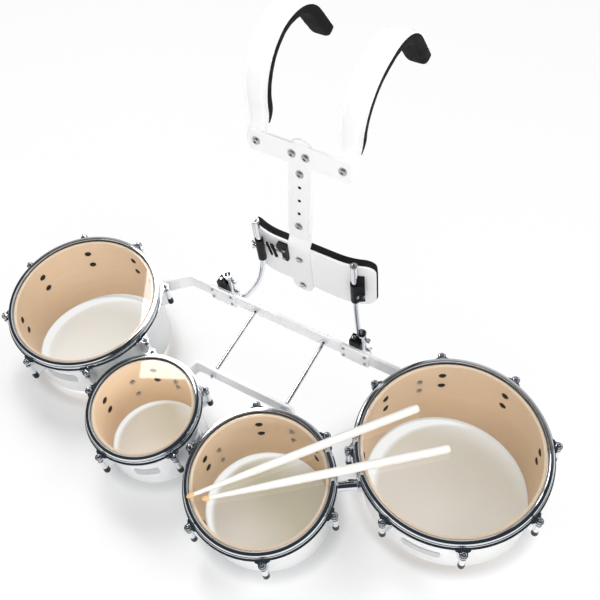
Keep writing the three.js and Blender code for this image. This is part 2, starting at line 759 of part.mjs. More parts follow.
// The belly foam: its back face swells between thinner edges.
{
  const line = bellyLine(belly.thick + clear);
  const outerEdge = bellyLine(belly.thick + clear + bellyPad.thick);
  const across = bellyPadColumnCount;
  const lengths = [0];
  for (let i = 1; i < line.length; i += 1) {
    lengths.push(lengths[i - 1] + line[i].distanceTo(line[i - 1]));
  }
  const whole = lengths[lengths.length - 1];
  const sample = (points, share) => {
    const want = share * whole;
    let k = 1;
    while (k < lengths.length - 1 && lengths[k] < want) k += 1;
    const part = (want - lengths[k - 1]) / (lengths[k] - lengths[k - 1]);
    return points[k - 1].clone().lerp(points[k], part);
  };
  const front = [];
  const back = [];
  const half = bellyTall / 2 + bellyPad.past;
  for (let i = 0; i <= across; i += 1) {
    const share = i / across;
    const near = sample(line, share);
    const far = sample(outerEdge, share);
    const side = 2 * share - 1;
    const fromEnd = (1 - Math.abs(side)) * (whole / 2);
    const round = Math.min(fromEnd / belly.round, 1);
    const drop = belly.round * (1 - Math.sqrt(1 - (1 - round) ** 2));
    const rowFront = [];
    const rowBack = [];
    for (let j = 0; j <= bellyPadRowCount; j += 1) {
      const up = (2 * j) / bellyPadRowCount - 1;
      const swell = (1 - up ** 4) * (1 - side ** 8);
      const fill = bellyPad.edgeShare + (1 - bellyPad.edgeShare) * swell;
      const back2 = near.clone().lerp(far, fill);
      const z = bellyMid + up * (half - drop);
      rowFront.push(new THREE.Vector3(near.x, near.y, z));
      rowBack.push(new THREE.Vector3(back2.x, back2.y, z));
    }
    front.push(rowFront);
    back.push(rowBack);
  }
  put("belly_pad", between(front, back), blackFoam);
}

// The leaning frame of the spine: origin on the upper bar's front face, +Y up along it,
// +Z toward the drums.
const spineTilt = leanTurn * deg;
const spine = new THREE.Group();
spine.position.set(0, upperBar.faceY, upperBar.faceZ);
spine.rotation.x = Math.PI / 2 - spineTilt;
instrument.add(spine);
const upAlong = (z) => (z - upperBar.faceZ) / Math.cos(spineTilt);
const topHoleZ = crossbar.z - barHolesBelowCrossbar;
const holeUps = Array.from({ length: barHoleCount }, (_, i) =>
  upAlong(topHoleZ - (barHoleCount - 1 - i) * barPitch));
const slotBolts = [holeUps[0], holeUps[barHoleCount - 1]];
const crossUp = upAlong(crossbar.z);

// The lower bar: upright over the plate, stepped back behind the upper bar and slotted.
{
  const backOfUpper = bar.thick + clear + bar.thick / 2;
  const leanPoint = (up, deep) => new THREE.Vector2(
    upperBar.faceY + up * Math.sin(spineTilt) + deep * Math.cos(spineTilt),
    upperBar.faceZ + up * Math.cos(spineTilt) - deep * Math.sin(spineTilt),
  );
  const uprightY = plateFront - clear - bar.thick / 2;
  const corners = [
    new THREE.Vector2(uprightY, lowerBar.low - overrun),
    new THREE.Vector2(uprightY, belly.high + lowerBar.past),
    leanPoint(upAlong(belly.high + lowerBar.past + lowerBar.joggle), backOfUpper),
    leanPoint(upAlong(lowerBar.high), backOfUpper),
  ];
  const line = roundedLine(corners, lowerBar.bend);
  const side = stripShape(line, bar.thick / 2, -bar.thick / 2);
  const body = plate(side, -bar.wide / 2, bar.wide / 2)
    .applyMatrix4(new THREE.Matrix4().makeBasis(
      new THREE.Vector3(0, 1, 0),
      new THREE.Vector3(0, 0, 1),
      new THREE.Vector3(1, 0, 0),
    ));
  const tall = lowerBar.high - lowerBar.low;
  const mid = (lowerBar.high + lowerBar.low) / 2;
  const outline = plate(roundedRect(bar.wide, tall, bar.wide / 2 - clear, 5), -tall, tall)
    .rotateX(Math.PI / 2)
    .translate(0, plateFront, mid);
  const slot = (up) => {
    const wide = 2 * bar.bore;
    const long = spineTravel + wide;
    return plate(roundedRect(wide, long, bar.bore - clear / 10, 2), -3 * bar.thick, 0)
      .translate(0, up + spineTravel / 2, 0)
      .rotateX(Math.PI / 2 - spineTilt)
      .translate(0, upperBar.faceY, upperBar.faceZ);
  };
  const low = slotBolts.map((up) => slot(up));
  const holes = bellyBoltZs.map((z) => boltHole(0, plateFront, z, 0));
  put("lower_bar", cut(common(body, outline), ...low, ...holes), whitePaint);
}

// The upper bar, with its row of holes and those of the crossbar's bolts.
{
  const low = upAlong(upperBar.low);
  const high = upAlong(upperBar.high);
  const shape = roundedRect(bar.wide, high - low, bar.wide / 2 - clear, 5);
  const mid = (low + high) / 2;
  const centres = [
    ...holeUps.map((up) => new THREE.Vector2(0, up - mid)),
    new THREE.Vector2(-crossBoltX, crossUp - mid),
    new THREE.Vector2(crossBoltX, crossUp - mid),
  ];
  const body = plate(withHoles(shape, centres, bar.bore), -bar.thick, 0);
  put("upper_bar", body.translate(0, mid, 0), whitePaint, spine);
}

{
  const centres = [-strapBoltX, -crossBoltX, crossBoltX, strapBoltX]
    .map((x) => new THREE.Vector2(x, 0));
  const shape = withHoles(
    roundedRect(crossbar.wide, crossbar.tall, crossbar.round), centres, bar.bore);
  const body = plate(shape, clear, clear + crossbar.thick);
  put("crossbar", body.translate(0, crossUp, 0), whitePaint, spine);
}

// A bolt along -Z with a washer under its head. The grip is what it holds together.
function boltBody(grip, withNut) {
  const end = withNut ? -grip - 2 * clear - boltNutThick : clear - grip;
  const profile = [[0, end]];
  if (withNut) {
    profile.push([bolt.nut, end], [bolt.nut, -grip - 2 * clear]);
    profile.push([bolt.radius, -grip - 2 * clear]);
  } else {
    profile.push([bolt.radius, end]);
  }
  profile.push(
    [bolt.radius, 0],
    [bolt.washer, 0],
    [bolt.washer, bolt.washerThick],
    [bolt.head, bolt.washerThick],
    [bolt.head / 2, bolt.washerThick + bolt.headTall],
    [0, bolt.washerThick + bolt.headTall],
  );
  return turned(profile, boltSides);
}
{
  const grip = 2 * bar.thick + clear;
  ["lower", "upper"].forEach((name, k) => {
    const spineBolt = put(`spine_bolt_${name}`, boltBody(grip + clear, true), chrome, spine);
    spineBolt.position.set(0, slotBolts[k], clear);
  });
  const front = crossbar.thick + 2 * clear;
  ["left", "right"].forEach((name, k) => {
    const side = k === 0 ? -1 : 1;
    const inner = put(`crossbar_bolt_${name}`,
      boltBody(crossbar.thick + bar.thick + clear, false), chrome, spine);
    inner.position.set(side * crossBoltX, crossUp, front);
    const outer = put(`strap_bolt_${name}`,
      boltBody(crossbar.thick + strap.thick + 2 * clear, true), chrome, spine);
    outer.position.set(side * strapBoltX, crossUp, front);
  });
  ["upper", "lower"].forEach((name, k) => {
    const z = bellyBoltZs[k];
    const behind = z > belly.low + bar.bore ? belly.thick + clear : 0;
    const bellyBolt = put(`belly_bolt_${name}`, boltBody(bar.thick + behind, false), chrome);
    bellyBolt.rotation.x = Math.PI / 2;
    bellyBolt.position.set(0, plateFront - bar.thick - 2 * clear, z);
  });
}

// A shoulder strap from the side: up behind the crossbar, over the shoulder and down.
function strapRoute() {
  const backOfCrossbar = clear - clear;
  const point = (up, deep) => new THREE.Vector2(
    upperBar.faceY + up * Math.sin(spineTilt) + deep * Math.cos(spineTilt),
    upperBar.faceZ + up * Math.cos(spineTilt) - deep * Math.sin(spineTilt),
  );
  const low = point(crossUp - strap.low, backOfCrossbar);
  const knee = point(crossUp + strapRise.knee, backOfCrossbar);
  const arcStart = new THREE.Vector2(strap.arcY - strap.arc, strap.arcZ);
  const bendOut = new THREE.Vector2(arcStart.x - strapRise.kneeOut, knee.y + strapRise.knee / 2);
  const route = [low, low.clone().lerp(knee, 0.5)];
  route.push(...new THREE.QuadraticBezierCurve(knee, bendOut, arcStart).getPoints(4));
  const steps = 12;
  for (let i = 1; i <= steps; i += 1) {
    const turn = 180 - ((180 - strapArcEnd) * i) / steps;
    route.push(polar(strap.arcY, strap.arcZ, strap.arc, turn));
  }
  const last = route[route.length - 1];
  for (const share of [0.3, 0.6, 0.8, 0.92, 1]) {
    route.push(polar(last.x, last.y, strapTail * share, strapArcEnd - 90));
  }
  return route;
}

const route = strapRoute();
const routeLengths = route.map((point, i) =>
  route.slice(1, i + 1).reduce((sum, p, k) => sum + p.distanceTo(route[k]), 0));
const routeWhole = routeLengths[route.length - 1];

// Half the width at a place along the route, rounded off toward both ends.
function halfWidth(done, inset) {
  const grown = Math.min(done / (3 * strap.narrow), 1);
  const full = (strap.narrow + (strap.wide - strap.narrow) * grown) / 2 - inset;
  const left = Math.min(routeWhole - done, strapRound);
  const cutBack = strapRound - Math.sqrt(Math.max(strapRound ** 2 - (strapRound - left) ** 2, 0));
  return full - cutBack * 0.8;
}

function strapRow(offsetLine, i, side, inset, across, swell) {
  const done = routeLengths[i];
  const centre = side * (strapBoltX + strapSpread * Math.min(done / (routeWhole / 2), 1));
  const half = halfWidth(done, inset);
  return Array.from({ length: across + 1 }, (_, j) => {
    const over = (2 * j) / across - 1;
    const { x, y } = offsetLine(i, swell * (1 - over ** 4));
    return new THREE.Vector3(centre + over * half, x, y);
  });
}
const lineAt = (offset) => sideLine(route, offset);

["left", "right"].forEach((name, k) => {
  const side = k === 0 ? -1 : 1;
  const outer = lineAt(0);
  const inner = lineAt(-strap.thick);
  const rows = route.map((_, i) => i);
  const face = (line) => rows.map((i) => strapRow((n) => line[n], i, side, 0, 1, 0));
  const body = between(face(outer), face(inner));
  const hole = cylinder(bar.bore, -2 * crossbar.thick, 2 * crossbar.thick, boltSides)
    .translate(side * strapBoltX, crossUp, 0)
    .rotateX(Math.PI / 2 - spineTilt)
    .translate(0, upperBar.faceY, upperBar.faceZ);
  put(`strap_${name}`, cut(body, hole), whitePaint);
  const first = routeLengths.findIndex((done) => done > strap.low + strapRise.knee + strapPad.from);
  const padRows = rows.filter((i) => i >= first);
  const near = lineAt(-strap.thick - clear);
  const shallow = lineAt(-strap.thick - clear - strapPad.thick * strapPad.edgeShare);
  const deep = lineAt(-strap.thick - clear - strapPad.thick);
  const padOuter = padRows.map((i) =>
    strapRow((n) => near[n], i, side, strapPad.inset, 4, 0));
  const padInner = padRows.map((i) => {
    const atEnd = i === padRows[0] || i === padRows[padRows.length - 1];
    return strapRow(
      (n, swell) => shallow[n].clone().lerp(deep[n], atEnd ? 0 : swell),
      i, side, strapPad.inset, 4, 1);
  });
  put(`strap_pad_${name}`, between(padOuter, padInner), blackFoam);
});

// Rod holders in front of the belly plate: a drilled barrel on an arm that is shaped to
// the plate's front. The right arm is one long block.
const armBack = plateFront + belly.arc / 4;
function rightArm(spec) {
  const armFrom = spec.x + holder.radius * armFromShare;
  return boxBetween(armFrom, spec.armX, holderArmFront, armBack, spec.armLow, spec.armHigh);
}

// The left arm: a stepped block, a spindle to the barrel and the levers on it.
function leftArm(spec) {
  const foot = spec.armX - leftBlock.foot;
  const wide = spec.armX - leftBlock.wide;
  const shoulder = spec.armHigh - leftBlock.shoulder;
  const shape = new THREE.Shape([
    new THREE.Vector2(wide, spec.armHigh),
    new THREE.Vector2(wide, shoulder),
    new THREE.Vector2(foot, shoulder - leftBlock.slope),
    new THREE.Vector2(foot, spec.armLow),
    new THREE.Vector2(spec.armX, spec.armLow),
    new THREE.Vector2(spec.armX, spec.armHigh),
  ]);
  const block = plate(shape, -armBack, -holderArmFront).rotateX(Math.PI / 2);
  const onSpindle = (geometry) =>
    geometry.rotateY(Math.PI / 2).translate(0, holder.y, spec.armHigh - spindle.drop);
  const barrelSide = spec.x + holder.radius * armFromShare;
  const core = cylinder(spindle.radius, barrelSide, foot + leftBlock.foot / 2, holder.sides);
  const blade = (off, thick) => plate(
    roundedRect(lever.tall, lever.deep, lever.deep / 2 - clear, 2),
    spec.x + off, spec.x + off + thick);
  return join(
    block,
    onSpindle(core),
    onSpindle(blade(lever.thinOff, lever.thin)),
    onSpindle(blade(lever.thickOff, lever.thick)),
  );
}

function holderBody(spec, arm, side) {
  const barrel = cylinder(holder.radius, spec.low, spec.high, holder.sides)
    .translate(spec.x, holder.y, 0);
  const back = bellyLine(-clear);
  const beyond = plateFront + belly.arc;
  back.push(new THREE.Vector2(2 * belly.half, back[back.length - 1].y));
  back.push(new THREE.Vector2(2 * belly.half, beyond));
  back.push(new THREE.Vector2(-2 * belly.half, beyond));
  back.push(new THREE.Vector2(-2 * belly.half, back[0].y));
  const low = Math.min(spec.low, spec.armLow) - overrun;
  const high = Math.max(spec.high, spec.armHigh) + overrun;
  const plateTool = plate(new THREE.Shape(back), low, high);
  const bore = cylinder(holder.bore, low, high, holder.sides)
    .translate(spec.x, holder.y, 0);
  return cut(join(barrel, arm), plateTool, bore, side);
}
{
  const hole = roundPin(wing.shank + clear, wingSides);
  const shank = cylinder(hole, 0, holder.radius + overrun, wingSides)
    .rotateY(-Math.PI / 2)
    .translate(leftHolder.x, holder.y, holderWingZ);
  put("rod_holder_left", holderBody(leftHolder, leftArm(leftHolder), shank), blackPaint);
  const boltWay = cylinder(bar.bore, -bar.thick - overrun, overrun, boltSides)
    .rotateX(Math.PI / 2)
    .translate(rightBolt.x, holderArmFront, rightBolt.z);
  put("rod_holder_right", holderBody(rightHolder, rightArm(rightHolder), boltWay), blackPaint);
  const sideBolt = put("holder_bolt_right", boltBody(bar.thick, false), chrome);
  sideBolt.rotation.x = Math.PI / 2;
  sideBolt.position.set(rightBolt.x, holderArmFront - clear, rightBolt.z);
}

{
  const shankFrom = hook.radius + wing.play;
  const shankLong = holder.radius + wing.play - shankFrom;
  const screw = put("holder_wing_screw_left", wingScrew(shankLong).rotateZ(Math.PI), chrome);
  screw.position.set(leftHolder.x - shankFrom, holder.y, holderWingZ);
}

// The hooked rods. Each leg is straight where it stands in its holder or receiver.
function hookBody(spec, receiverX, bend) {
  const top = spec.high + hookPast;
  const leg = (z) => new THREE.Vector3(spec.x, holder.y, z);
  const short = (z) => new THREE.Vector3(receiverX, receiverY, z);
  const out = (share, z) => new THREE.Vector3(
    spec.x + (receiverX - spec.x) * share,
    holder.y + (receiverY - holder.y) * share,
    z,
  );
  const points = [
    leg(top),
    leg(spec.high),
    leg(spec.low),
    leg(spec.low - overrun),
    ...bend.map(([share, zShare]) =>
      out(share, spec.low - overrun + (-hook.bottom - spec.low + overrun) * zShare)),
    short(receiverLow - overrun),
    short(receiverLow),
    short(-hook.tip),
  ];
  const curve = new THREE.CatmullRomCurve3(points, false, "centripetal");
  const section = new THREE.Shape(circlePoints(hook.radius, hook.sides));
  const wire = new THREE.ExtrudeGeometry(section, {
    steps: hookSteps,
    extrudePath: curve,
    bevelEnabled: false,
  });
  const cap = turned([
    [0, top - overrun],
    [hook.radius / 2, top - overrun],
    [hook.radius / 2, top - clear],
    [hook.cap, top - clear],
    [hook.cap, top + hook.capTall],
    [hookScrew.radius, top + hook.capTall],
    [hookScrew.radius, top + hook.capTall + hookScrew.tall],
    [0, top + hook.capTall + hookScrew.tall],
  ], hook.sides).translate(spec.x, holder.y, 0);
  return join(wire, cap);
}
const hookBendShares = [[0.18, 0.5], [0.5, 0.86], [0.72, 1], [0.92, 0.99]];
put("hooked_rod_left",
  hookBody(leftHolder, receiverXs[0], hookBendShares), chrome);
put("hooked_rod_right",
  hookBody(rightHolder, receiverXs[1], hookBendShares), chrome);

// Sticks across the hoops. The upper one also rests its bead on the near hoop.
function stickBody() {
  const profile = stickLengthShares.map((share, i) =>
    [stick.radius * stickRadiusShares[i], stick.length * share]);
  return turned([[0, 0], ...profile, [0, stick.length]], stick.sides);
}
function layStick(name, spec, tipLow) {
  const mesh = put(name, stickBody(), whiteWood);
  const heading = Math.atan2(spec.buttY - spec.tipY, spec.buttX - spec.tipX);
  mesh.position.set(spec.tipX, spec.tipY, stick.radius + clear - tipLow);
  mesh.rotation.order = "ZYX";
  mesh.rotation.set(0, Math.PI / 2 - Math.asin(tipLow / (stick.length * 0.58)), heading);
}
layStick("stick_upper", upperStick, stick.radius * 0.36);
layStick("stick_lower", lowerStick, 0);

// Tip the set onto the floor, then bring its middle to the origin.
instrument.rotation.x = Math.atan(floorFallShare);
const wholeSet = new THREE.Group();
wholeSet.add(instrument);
wholeSet.updateMatrixWorld(true);
const bounds = new THREE.Box3().setFromObject(wholeSet, true);
instrument.position.set(
  -(bounds.min.x + bounds.max.x) / 2,
  -(bounds.min.y + bounds.max.y) / 2,
  -bounds.min.z,
);

export default wholeSet;
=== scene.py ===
# %% [markdown]
# # Marching tenor drums
# Four drums hang on flat rails in front of a player, who carries them on a shoulder
# carrier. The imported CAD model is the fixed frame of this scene. Each visible surface is
# made again here at the smoothness that a photograph shows, in the same place, and rides
# on the body of the CAD part that it stands for.

# %% Load the frame
import math

import bpy
import bmesh
from mathutils import Matrix, Vector
from mathutils.geometry import tessellate_polygon


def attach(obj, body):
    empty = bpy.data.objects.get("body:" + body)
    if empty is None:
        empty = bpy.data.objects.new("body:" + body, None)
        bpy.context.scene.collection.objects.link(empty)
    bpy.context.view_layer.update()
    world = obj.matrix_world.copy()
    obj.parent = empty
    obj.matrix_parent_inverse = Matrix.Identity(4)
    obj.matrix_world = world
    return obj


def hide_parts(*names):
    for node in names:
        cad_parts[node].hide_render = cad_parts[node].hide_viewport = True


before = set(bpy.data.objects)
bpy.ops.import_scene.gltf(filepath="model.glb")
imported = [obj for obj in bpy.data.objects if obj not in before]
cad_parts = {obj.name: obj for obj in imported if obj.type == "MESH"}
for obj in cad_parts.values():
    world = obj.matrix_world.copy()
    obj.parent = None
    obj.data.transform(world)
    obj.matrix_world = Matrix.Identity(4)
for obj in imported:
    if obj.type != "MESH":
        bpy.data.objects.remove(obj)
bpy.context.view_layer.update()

# %% [markdown]
# ## The frame of the hoops
# All four hoop tops lie in one plane, and the drums stand tipped, so it is easier to work
# in the frame of that plane: millimetres, X along the rails, Y toward the player, Z up
# from the hoops. One matrix takes a point from there to the row frame in metres. The
# spine of the carrier leans, so it has a matrix of its own.

# %% Matrices
MM = 0.001
FALL = 0.22
HOOP = (Matrix.Translation((-0.011587, -0.247034, 0.157240))
        @ Matrix.Rotation(math.atan(FALL), 4, "X") @ Matrix.Scale(MM, 4))
LEAN = math.radians(10.6)
FACE_Y, FACE_Z = 412, 163
SPINE = (HOOP @ Matrix.Translation((0, FACE_Y, FACE_Z))
         @ Matrix.Rotation(math.pi / 2 - LEAN, 4, "X"))


def at(x=0, y=0, z=0):
    return Matrix.Translation((x, y, z))


def turn_z(degrees):
    return Matrix.Rotation(math.radians(degrees), 4, "Z")


def polar(x, y, reach, degrees):
    a = math.radians(degrees)
    return Vector((x + reach * math.cos(a), y + reach * math.sin(a)))


# %% [markdown]
# ## The camera
# The photograph looks down on the set from high up at the front right. The hoop circles
# gave the lens and the place of the camera, so both are written in the frame of the hoops.
# The principal point lies a little off the middle, which the two shifts take up.

# %% Camera
PITCH, ROLL, YAW = math.radians(52.79), math.radians(10.27), math.radians(-38.7)


def camera_axes():
    ahead = Vector((0, math.cos(PITCH), -math.sin(PITCH)))
    side = Vector((1, 0, 0))
    down = Vector((0, -math.sin(PITCH), -math.cos(PITCH)))
    right = math.cos(ROLL) * side + math.sin(ROLL) * down
    low = math.cos(ROLL) * down - math.sin(ROLL) * side
    into_hoops = Matrix.Rotation(-YAW, 3, "Z")
    tip = Matrix.Rotation(math.atan(FALL), 3, "X")
    return [tip @ (into_hoops @ v) for v in (right, -low, -ahead)]


camera_data = bpy.data.cameras.new("photo_camera")
camera = bpy.data.objects.new("photo_camera", camera_data)
bpy.context.scene.collection.objects.link(camera)
axes = camera_axes()
camera.matrix_world = Matrix.Translation(HOOP @ Vector((566.5, -383, 1431))) @ Matrix(
    [[axes[0][i], axes[1][i], axes[2][i]] for i in range(3)]).to_4x4()
camera_data.sensor_width = 36
camera_data.lens = 49.5
camera_data.shift_x, camera_data.shift_y = 0.0467, -0.1033
camera_data.clip_start, camera_data.clip_end = 0.05, 60
bpy.context.scene.camera = camera
print("camera at", [round(c, 3) for c in camera.matrix_world.translation])

# %% [markdown]
# ## Shaders as sums
# A finish is a node tree, but it reads better as arithmetic. `Value` wraps one socket, and
# its operators add the Math nodes. `Finish.node` adds any other node: its settings are set
# first, then its sockets take plain values or links.

# %% Shader helpers
class Value:
    def __init__(self, finish, socket):
        self.finish, self.socket = finish, socket

    def math(self, operation, a, b=0.0):
        return self.finish.node("ShaderNodeMath", {"operation": operation}, {0: a, 1: b})

    def __add__(self, other):
        return self.math("ADD", self, other)

    def __sub__(self, other):
        return self.math("SUBTRACT", self, other)

    def __rsub__(self, other):
        return self.math("SUBTRACT", other, self)

    def __mul__(self, other):
        return self.math("MULTIPLY", self, other)

    def __gt__(self, other):
        return self.math("GREATER_THAN", self, other)

    def __pow__(self, other):
        return self.math("POWER", self, other)

    __radd__, __rmul__ = __add__, __mul__

    def over(self, low, high):
        """0 below low, 1 above high, and a soft step between."""
        return self.finish.node(
            "ShaderNodeMapRange", {"interpolation_type": "SMOOTHSTEP"},
            {"Value": self, "From Min": low, "From Max": high})


class Finish:
    def __init__(self, name, tree=None):
        if tree is None:
            self.material = bpy.data.materials.new(name)
            self.material.use_nodes = True
            tree = self.material.node_tree
        self.tree = tree
        tree.nodes.clear()

    def node(self, kind, settings=None, inputs=None, out=0):
        made = self.tree.nodes.new(kind)
        for key, value in (settings or {}).items():
            if key == "stops":
                ramp = made.color_ramp
                while len(ramp.elements) < len(value):
                    ramp.elements.new(0.5)
                for element, (place, colour) in zip(ramp.elements, value):
                    element.position, element.color = place, (*colour, 1)
            else:
                setattr(made, key, value)
        for key, value in (inputs or {}).items():
            socket = made.inputs[key]
            if isinstance(value, Value):
                self.tree.links.new(value.socket, socket)
            elif hasattr(value, "__len__") and len(value) == 3 and socket.type == "RGBA":
                socket.default_value = (*value, 1)
            else:
                socket.default_value = value
        return Value(self, made.outputs[out]) if made.outputs else None

    def place(self, stretch=(1, 1, 1), grain=False):
        """Where a point is: on the object, or along the grain that a turned form carries."""
        if grain:
            spot = self.node("ShaderNodeUVMap", {"uv_map": "grain"})
        else:
            spot = self.node("ShaderNodeTexCoord", out="Object")
        return self.node("ShaderNodeVectorMath", {"operation": "MULTIPLY"},
                         {0: spot, 1: stretch})

    def noise(self, scale, detail=3, spot=None, rough=0.5):
        return self.node("ShaderNodeTexNoise", {}, {
            "Vector": spot or self.place(), "Scale": scale, "Detail": detail,
            "Roughness": rough})

    def mix(self, share, a, b):
        return self.node("ShaderNodeMix", {"data_type": "RGBA"}, {0: share, 6: a, 7: b}, 2)

    def bump(self, height, depth, strength=0.6):
        return self.node("ShaderNodeBump", {}, {
            "Strength": strength, "Distance": depth, "Height": height})

    def surface(self, **sockets):
        names = {key.replace("_", " "): value for key, value in sockets.items()}
        return self.node("ShaderNodeBsdfPrincipled", {}, names)

    def done(self, shader):
        self.node("ShaderNodeOutputMaterial", {}, {"Surface": shader})
        return self.material


# %% [markdown]
# ## Metal finishes
# The hoops, rods and lugs are chrome: nearly a mirror, with the faint smears and wipe marks
# of handled plating in the roughness. The brackets are cast alloy under thin plating, so
# their skin has a fine grain. Screws inside the shells are dark and oily.

# %% Metals
def chrome_finish():
    f = Finish("chrome_plate")
    smear = f.noise(14, 4).over(0.35, 0.75)
    wipe = f.noise(90, 2, f.place((1, 1, 5)))
    return f.done(f.surface(
        Base_Color=f.mix(smear, (0.80, 0.82, 0.85), (0.88, 0.89, 0.91)),
        Metallic=1.0, Roughness=0.045 + smear * 0.06 + wipe * 0.03,
        Normal=f.bump(f.noise(45, 2), 0.00008, 0.25)))


def cast_finish():
    f = Finish("cast_alloy_plated")
    grain = f.noise(900, 3)
    cloud = f.noise(30, 3)
    return f.done(f.surface(
        Base_Color=f.mix(cloud, (0.62, 0.64, 0.67), (0.78, 0.79, 0.81)),
        Metallic=1.0, Roughness=0.16 + cloud * 0.16 + grain * 0.06,
        Normal=f.bump(grain, 0.0003, 0.3)))


def dark_steel_finish():
    f = Finish("dark_steel")
    cloud = f.noise(160, 3)
    return f.done(f.surface(
        Base_Color=f.mix(cloud, (0.025, 0.024, 0.023), (0.07, 0.066, 0.062)),
        Metallic=0.85, Roughness=0.3 + cloud * 0.25))


def aluminium_finish():
    f = Finish("flesh_hoop_aluminium")
    line = f.noise(60, 3, f.place((1, 1, 30)))
    return f.done(f.surface(
        Base_Color=f.mix(line, (0.45, 0.46, 0.47), (0.66, 0.67, 0.68)),
        Metallic=1.0, Roughness=0.3 + line * 0.2))


def zinc_finish():
    f = Finish("bright_zinc")
    cloud = f.noise(220, 3)
    return f.done(f.surface(
        Base_Color=f.mix(cloud, (0.52, 0.53, 0.55), (0.80, 0.81, 0.83)),
        Metallic=1.0, Roughness=0.2 + cloud * 0.18))


def plate_finish():
    f = Finish("bare_badge_plate")
    brush = f.noise(30, 4, f.place((1, 60, 1), grain=True))
    return f.done(f.surface(
        Base_Color=f.mix(brush, (0.66, 0.67, 0.68), (0.80, 0.81, 0.82)),
        Metallic=1.0, Roughness=0.24 + brush * 0.16,
        Normal=f.bump(brush, 0.00006, 0.4)))


CHROME, CAST, DARK = chrome_finish(), cast_finish(), dark_steel_finish()
ALUMINIUM, ZINC, BADGE = aluminium_finish(), zinc_finish(), plate_finish()

# %% [markdown]
# ## Wood, film and wrap
# The shells are thin plywood. The inside shows a pale veneer whose grain runs round the
# drum, so its noise is stretched along the turned form's own coordinates. Cut edges show
# the plies as fine bands. Outside, a glossy white wrap hides the wood. The heads are
# clear film: almost all of the light goes straight through, and its outer face mirrors a
# little. Only the collar round the rim, where the film is bonded, is milky.

# %% Wood, film and wrap
def veneer_finish():
    f = Finish("shell_veneer")
    streak = f.noise(9, 5, f.place((1, 26, 1), grain=True), 0.6)
    fibre = f.noise(40, 4, f.place((1, 40, 1), grain=True), 0.7)
    cloud = f.noise(7, 2, f.place((1, 2, 1), grain=True))
    base = f.mix(streak.over(0.3, 0.72), (0.755, 0.575, 0.41), (0.81, 0.65, 0.49))
    warm = f.mix(cloud.over(0.35, 0.7), base, (0.78, 0.595, 0.425))
    return f.done(f.surface(
        Base_Color=f.mix(fibre.over(0.62, 0.8) * 0.3, warm, (0.66, 0.44, 0.26)),
        Roughness=0.42 + fibre * 0.2, Normal=f.bump(fibre, 0.0002, 0.25)))


def plies_finish():
    f = Finish("ply_edge")
    spot = f.node("ShaderNodeSeparateXYZ", {}, {"Vector": f.place(grain=True)}, "Y")
    band = f.node("ShaderNodeMath", {"operation": "SINE"}, {0: spot * 5200})
    fibre = f.noise(60, 4, f.place((1, 30, 1), grain=True))
    base = f.mix(band.over(-0.3, 0.3), (0.62, 0.40, 0.22), (0.84, 0.66, 0.45))
    return f.done(f.surface(
        Base_Color=f.mix(fibre * 0.4, base, (0.74, 0.52, 0.32)),
        Roughness=0.55 + fibre * 0.2, Normal=f.bump(fibre, 0.0002, 0.3)))


def edge_finish():
    f = Finish("bearing_edge_wood")
    fibre = f.noise(50, 4, f.place((1, 14, 1), grain=True))
    return f.done(f.surface(
        Base_Color=f.mix(fibre, (0.77, 0.585, 0.44), (0.86, 0.72, 0.58)),
        Roughness=0.5 + fibre * 0.2))


def wrap_finish():
    f = Finish("white_wrap")
    wave = f.noise(11, 2)
    dust = f.noise(300, 2)
    return f.done(f.surface(
        Base_Color=f.mix(wave, (0.80, 0.805, 0.81), (0.84, 0.84, 0.845)),
        Roughness=0.16 + wave * 0.1 + dust * 0.04, Coat_Weight=0.35, Coat_Roughness=0.06,
        Normal=f.bump(wave, 0.0008, 0.15)))


def film_finish():
    f = Finish("clear_film")
    haze = f.noise(18, 3)
    gloss = f.surface(Base_Color=(0.95, 0.95, 0.95), Metallic=1.0,
                      Roughness=0.02 + haze * 0.02)
    through = f.node("ShaderNodeBsdfTransparent", {}, {"Color": (0.985, 0.985, 0.975)})
    edge = f.node("ShaderNodeFresnel", {}, {"IOR": 1.45})
    behind = f.node("ShaderNodeNewGeometry", out="Backfacing")
    share = (haze * 0.01 + edge * 0.6 + 0.05) * (1 - behind)
    return f.done(f.node("ShaderNodeMixShader", {}, {0: share, 1: through, 2: gloss}))


def collar_finish():
    f = Finish("milky_collar")
    haze = f.noise(60, 3)
    return f.done(f.surface(
        Base_Color=f.mix(haze, (0.84, 0.845, 0.84), (0.92, 0.92, 0.91)),
        Roughness=0.25 + haze * 0.15))


VENEER, PLIES, EDGE = veneer_finish(), plies_finish(), edge_finish()
WRAP, FILM, COLLAR = wrap_finish(), film_finish(), collar_finish()

# %% [markdown]
# ## Paint, foam and sticks
# The rails and the carrier are powder coated: a soft orange peel in the gloss. The foam is
# a dense closed-cell sheet, so it is nearly black, matt, and pricked with tiny cells. The
# sticks are lacquered white, and their beads are left as bare, warm wood.

# %% Paint, foam and sticks
def powder_finish(name, low, high, rough, gloss=0.5):
    f = Finish(name)
    peel = f.noise(420, 2)
    cloud = f.noise(9, 3)
    return f.done(f.surface(
        Base_Color=f.mix(cloud, low, high), Roughness=rough + peel * 0.12 + cloud * 0.06,
        Specular_IOR_Level=gloss,
        Normal=f.bump(peel, 0.00025, 0.25)))


def foam_finish():
    f = Finish("black_foam")
    cell = f.node("ShaderNodeTexVoronoi", {"feature": "F1"},
                  {"Vector": f.place(), "Scale": 700.0})
    cloud = f.noise(24, 4)
    return f.done(f.surface(
        Base_Color=f.mix(cloud.over(0.3, 0.75), (0.006, 0.006, 0.007), (0.017, 0.017, 0.018)),
        Roughness=0.82 + cloud * 0.15, Specular_IOR_Level=0.2,
        Normal=f.bump(cell + f.noise(60, 4) * 0.8, 0.0006, 0.7)))


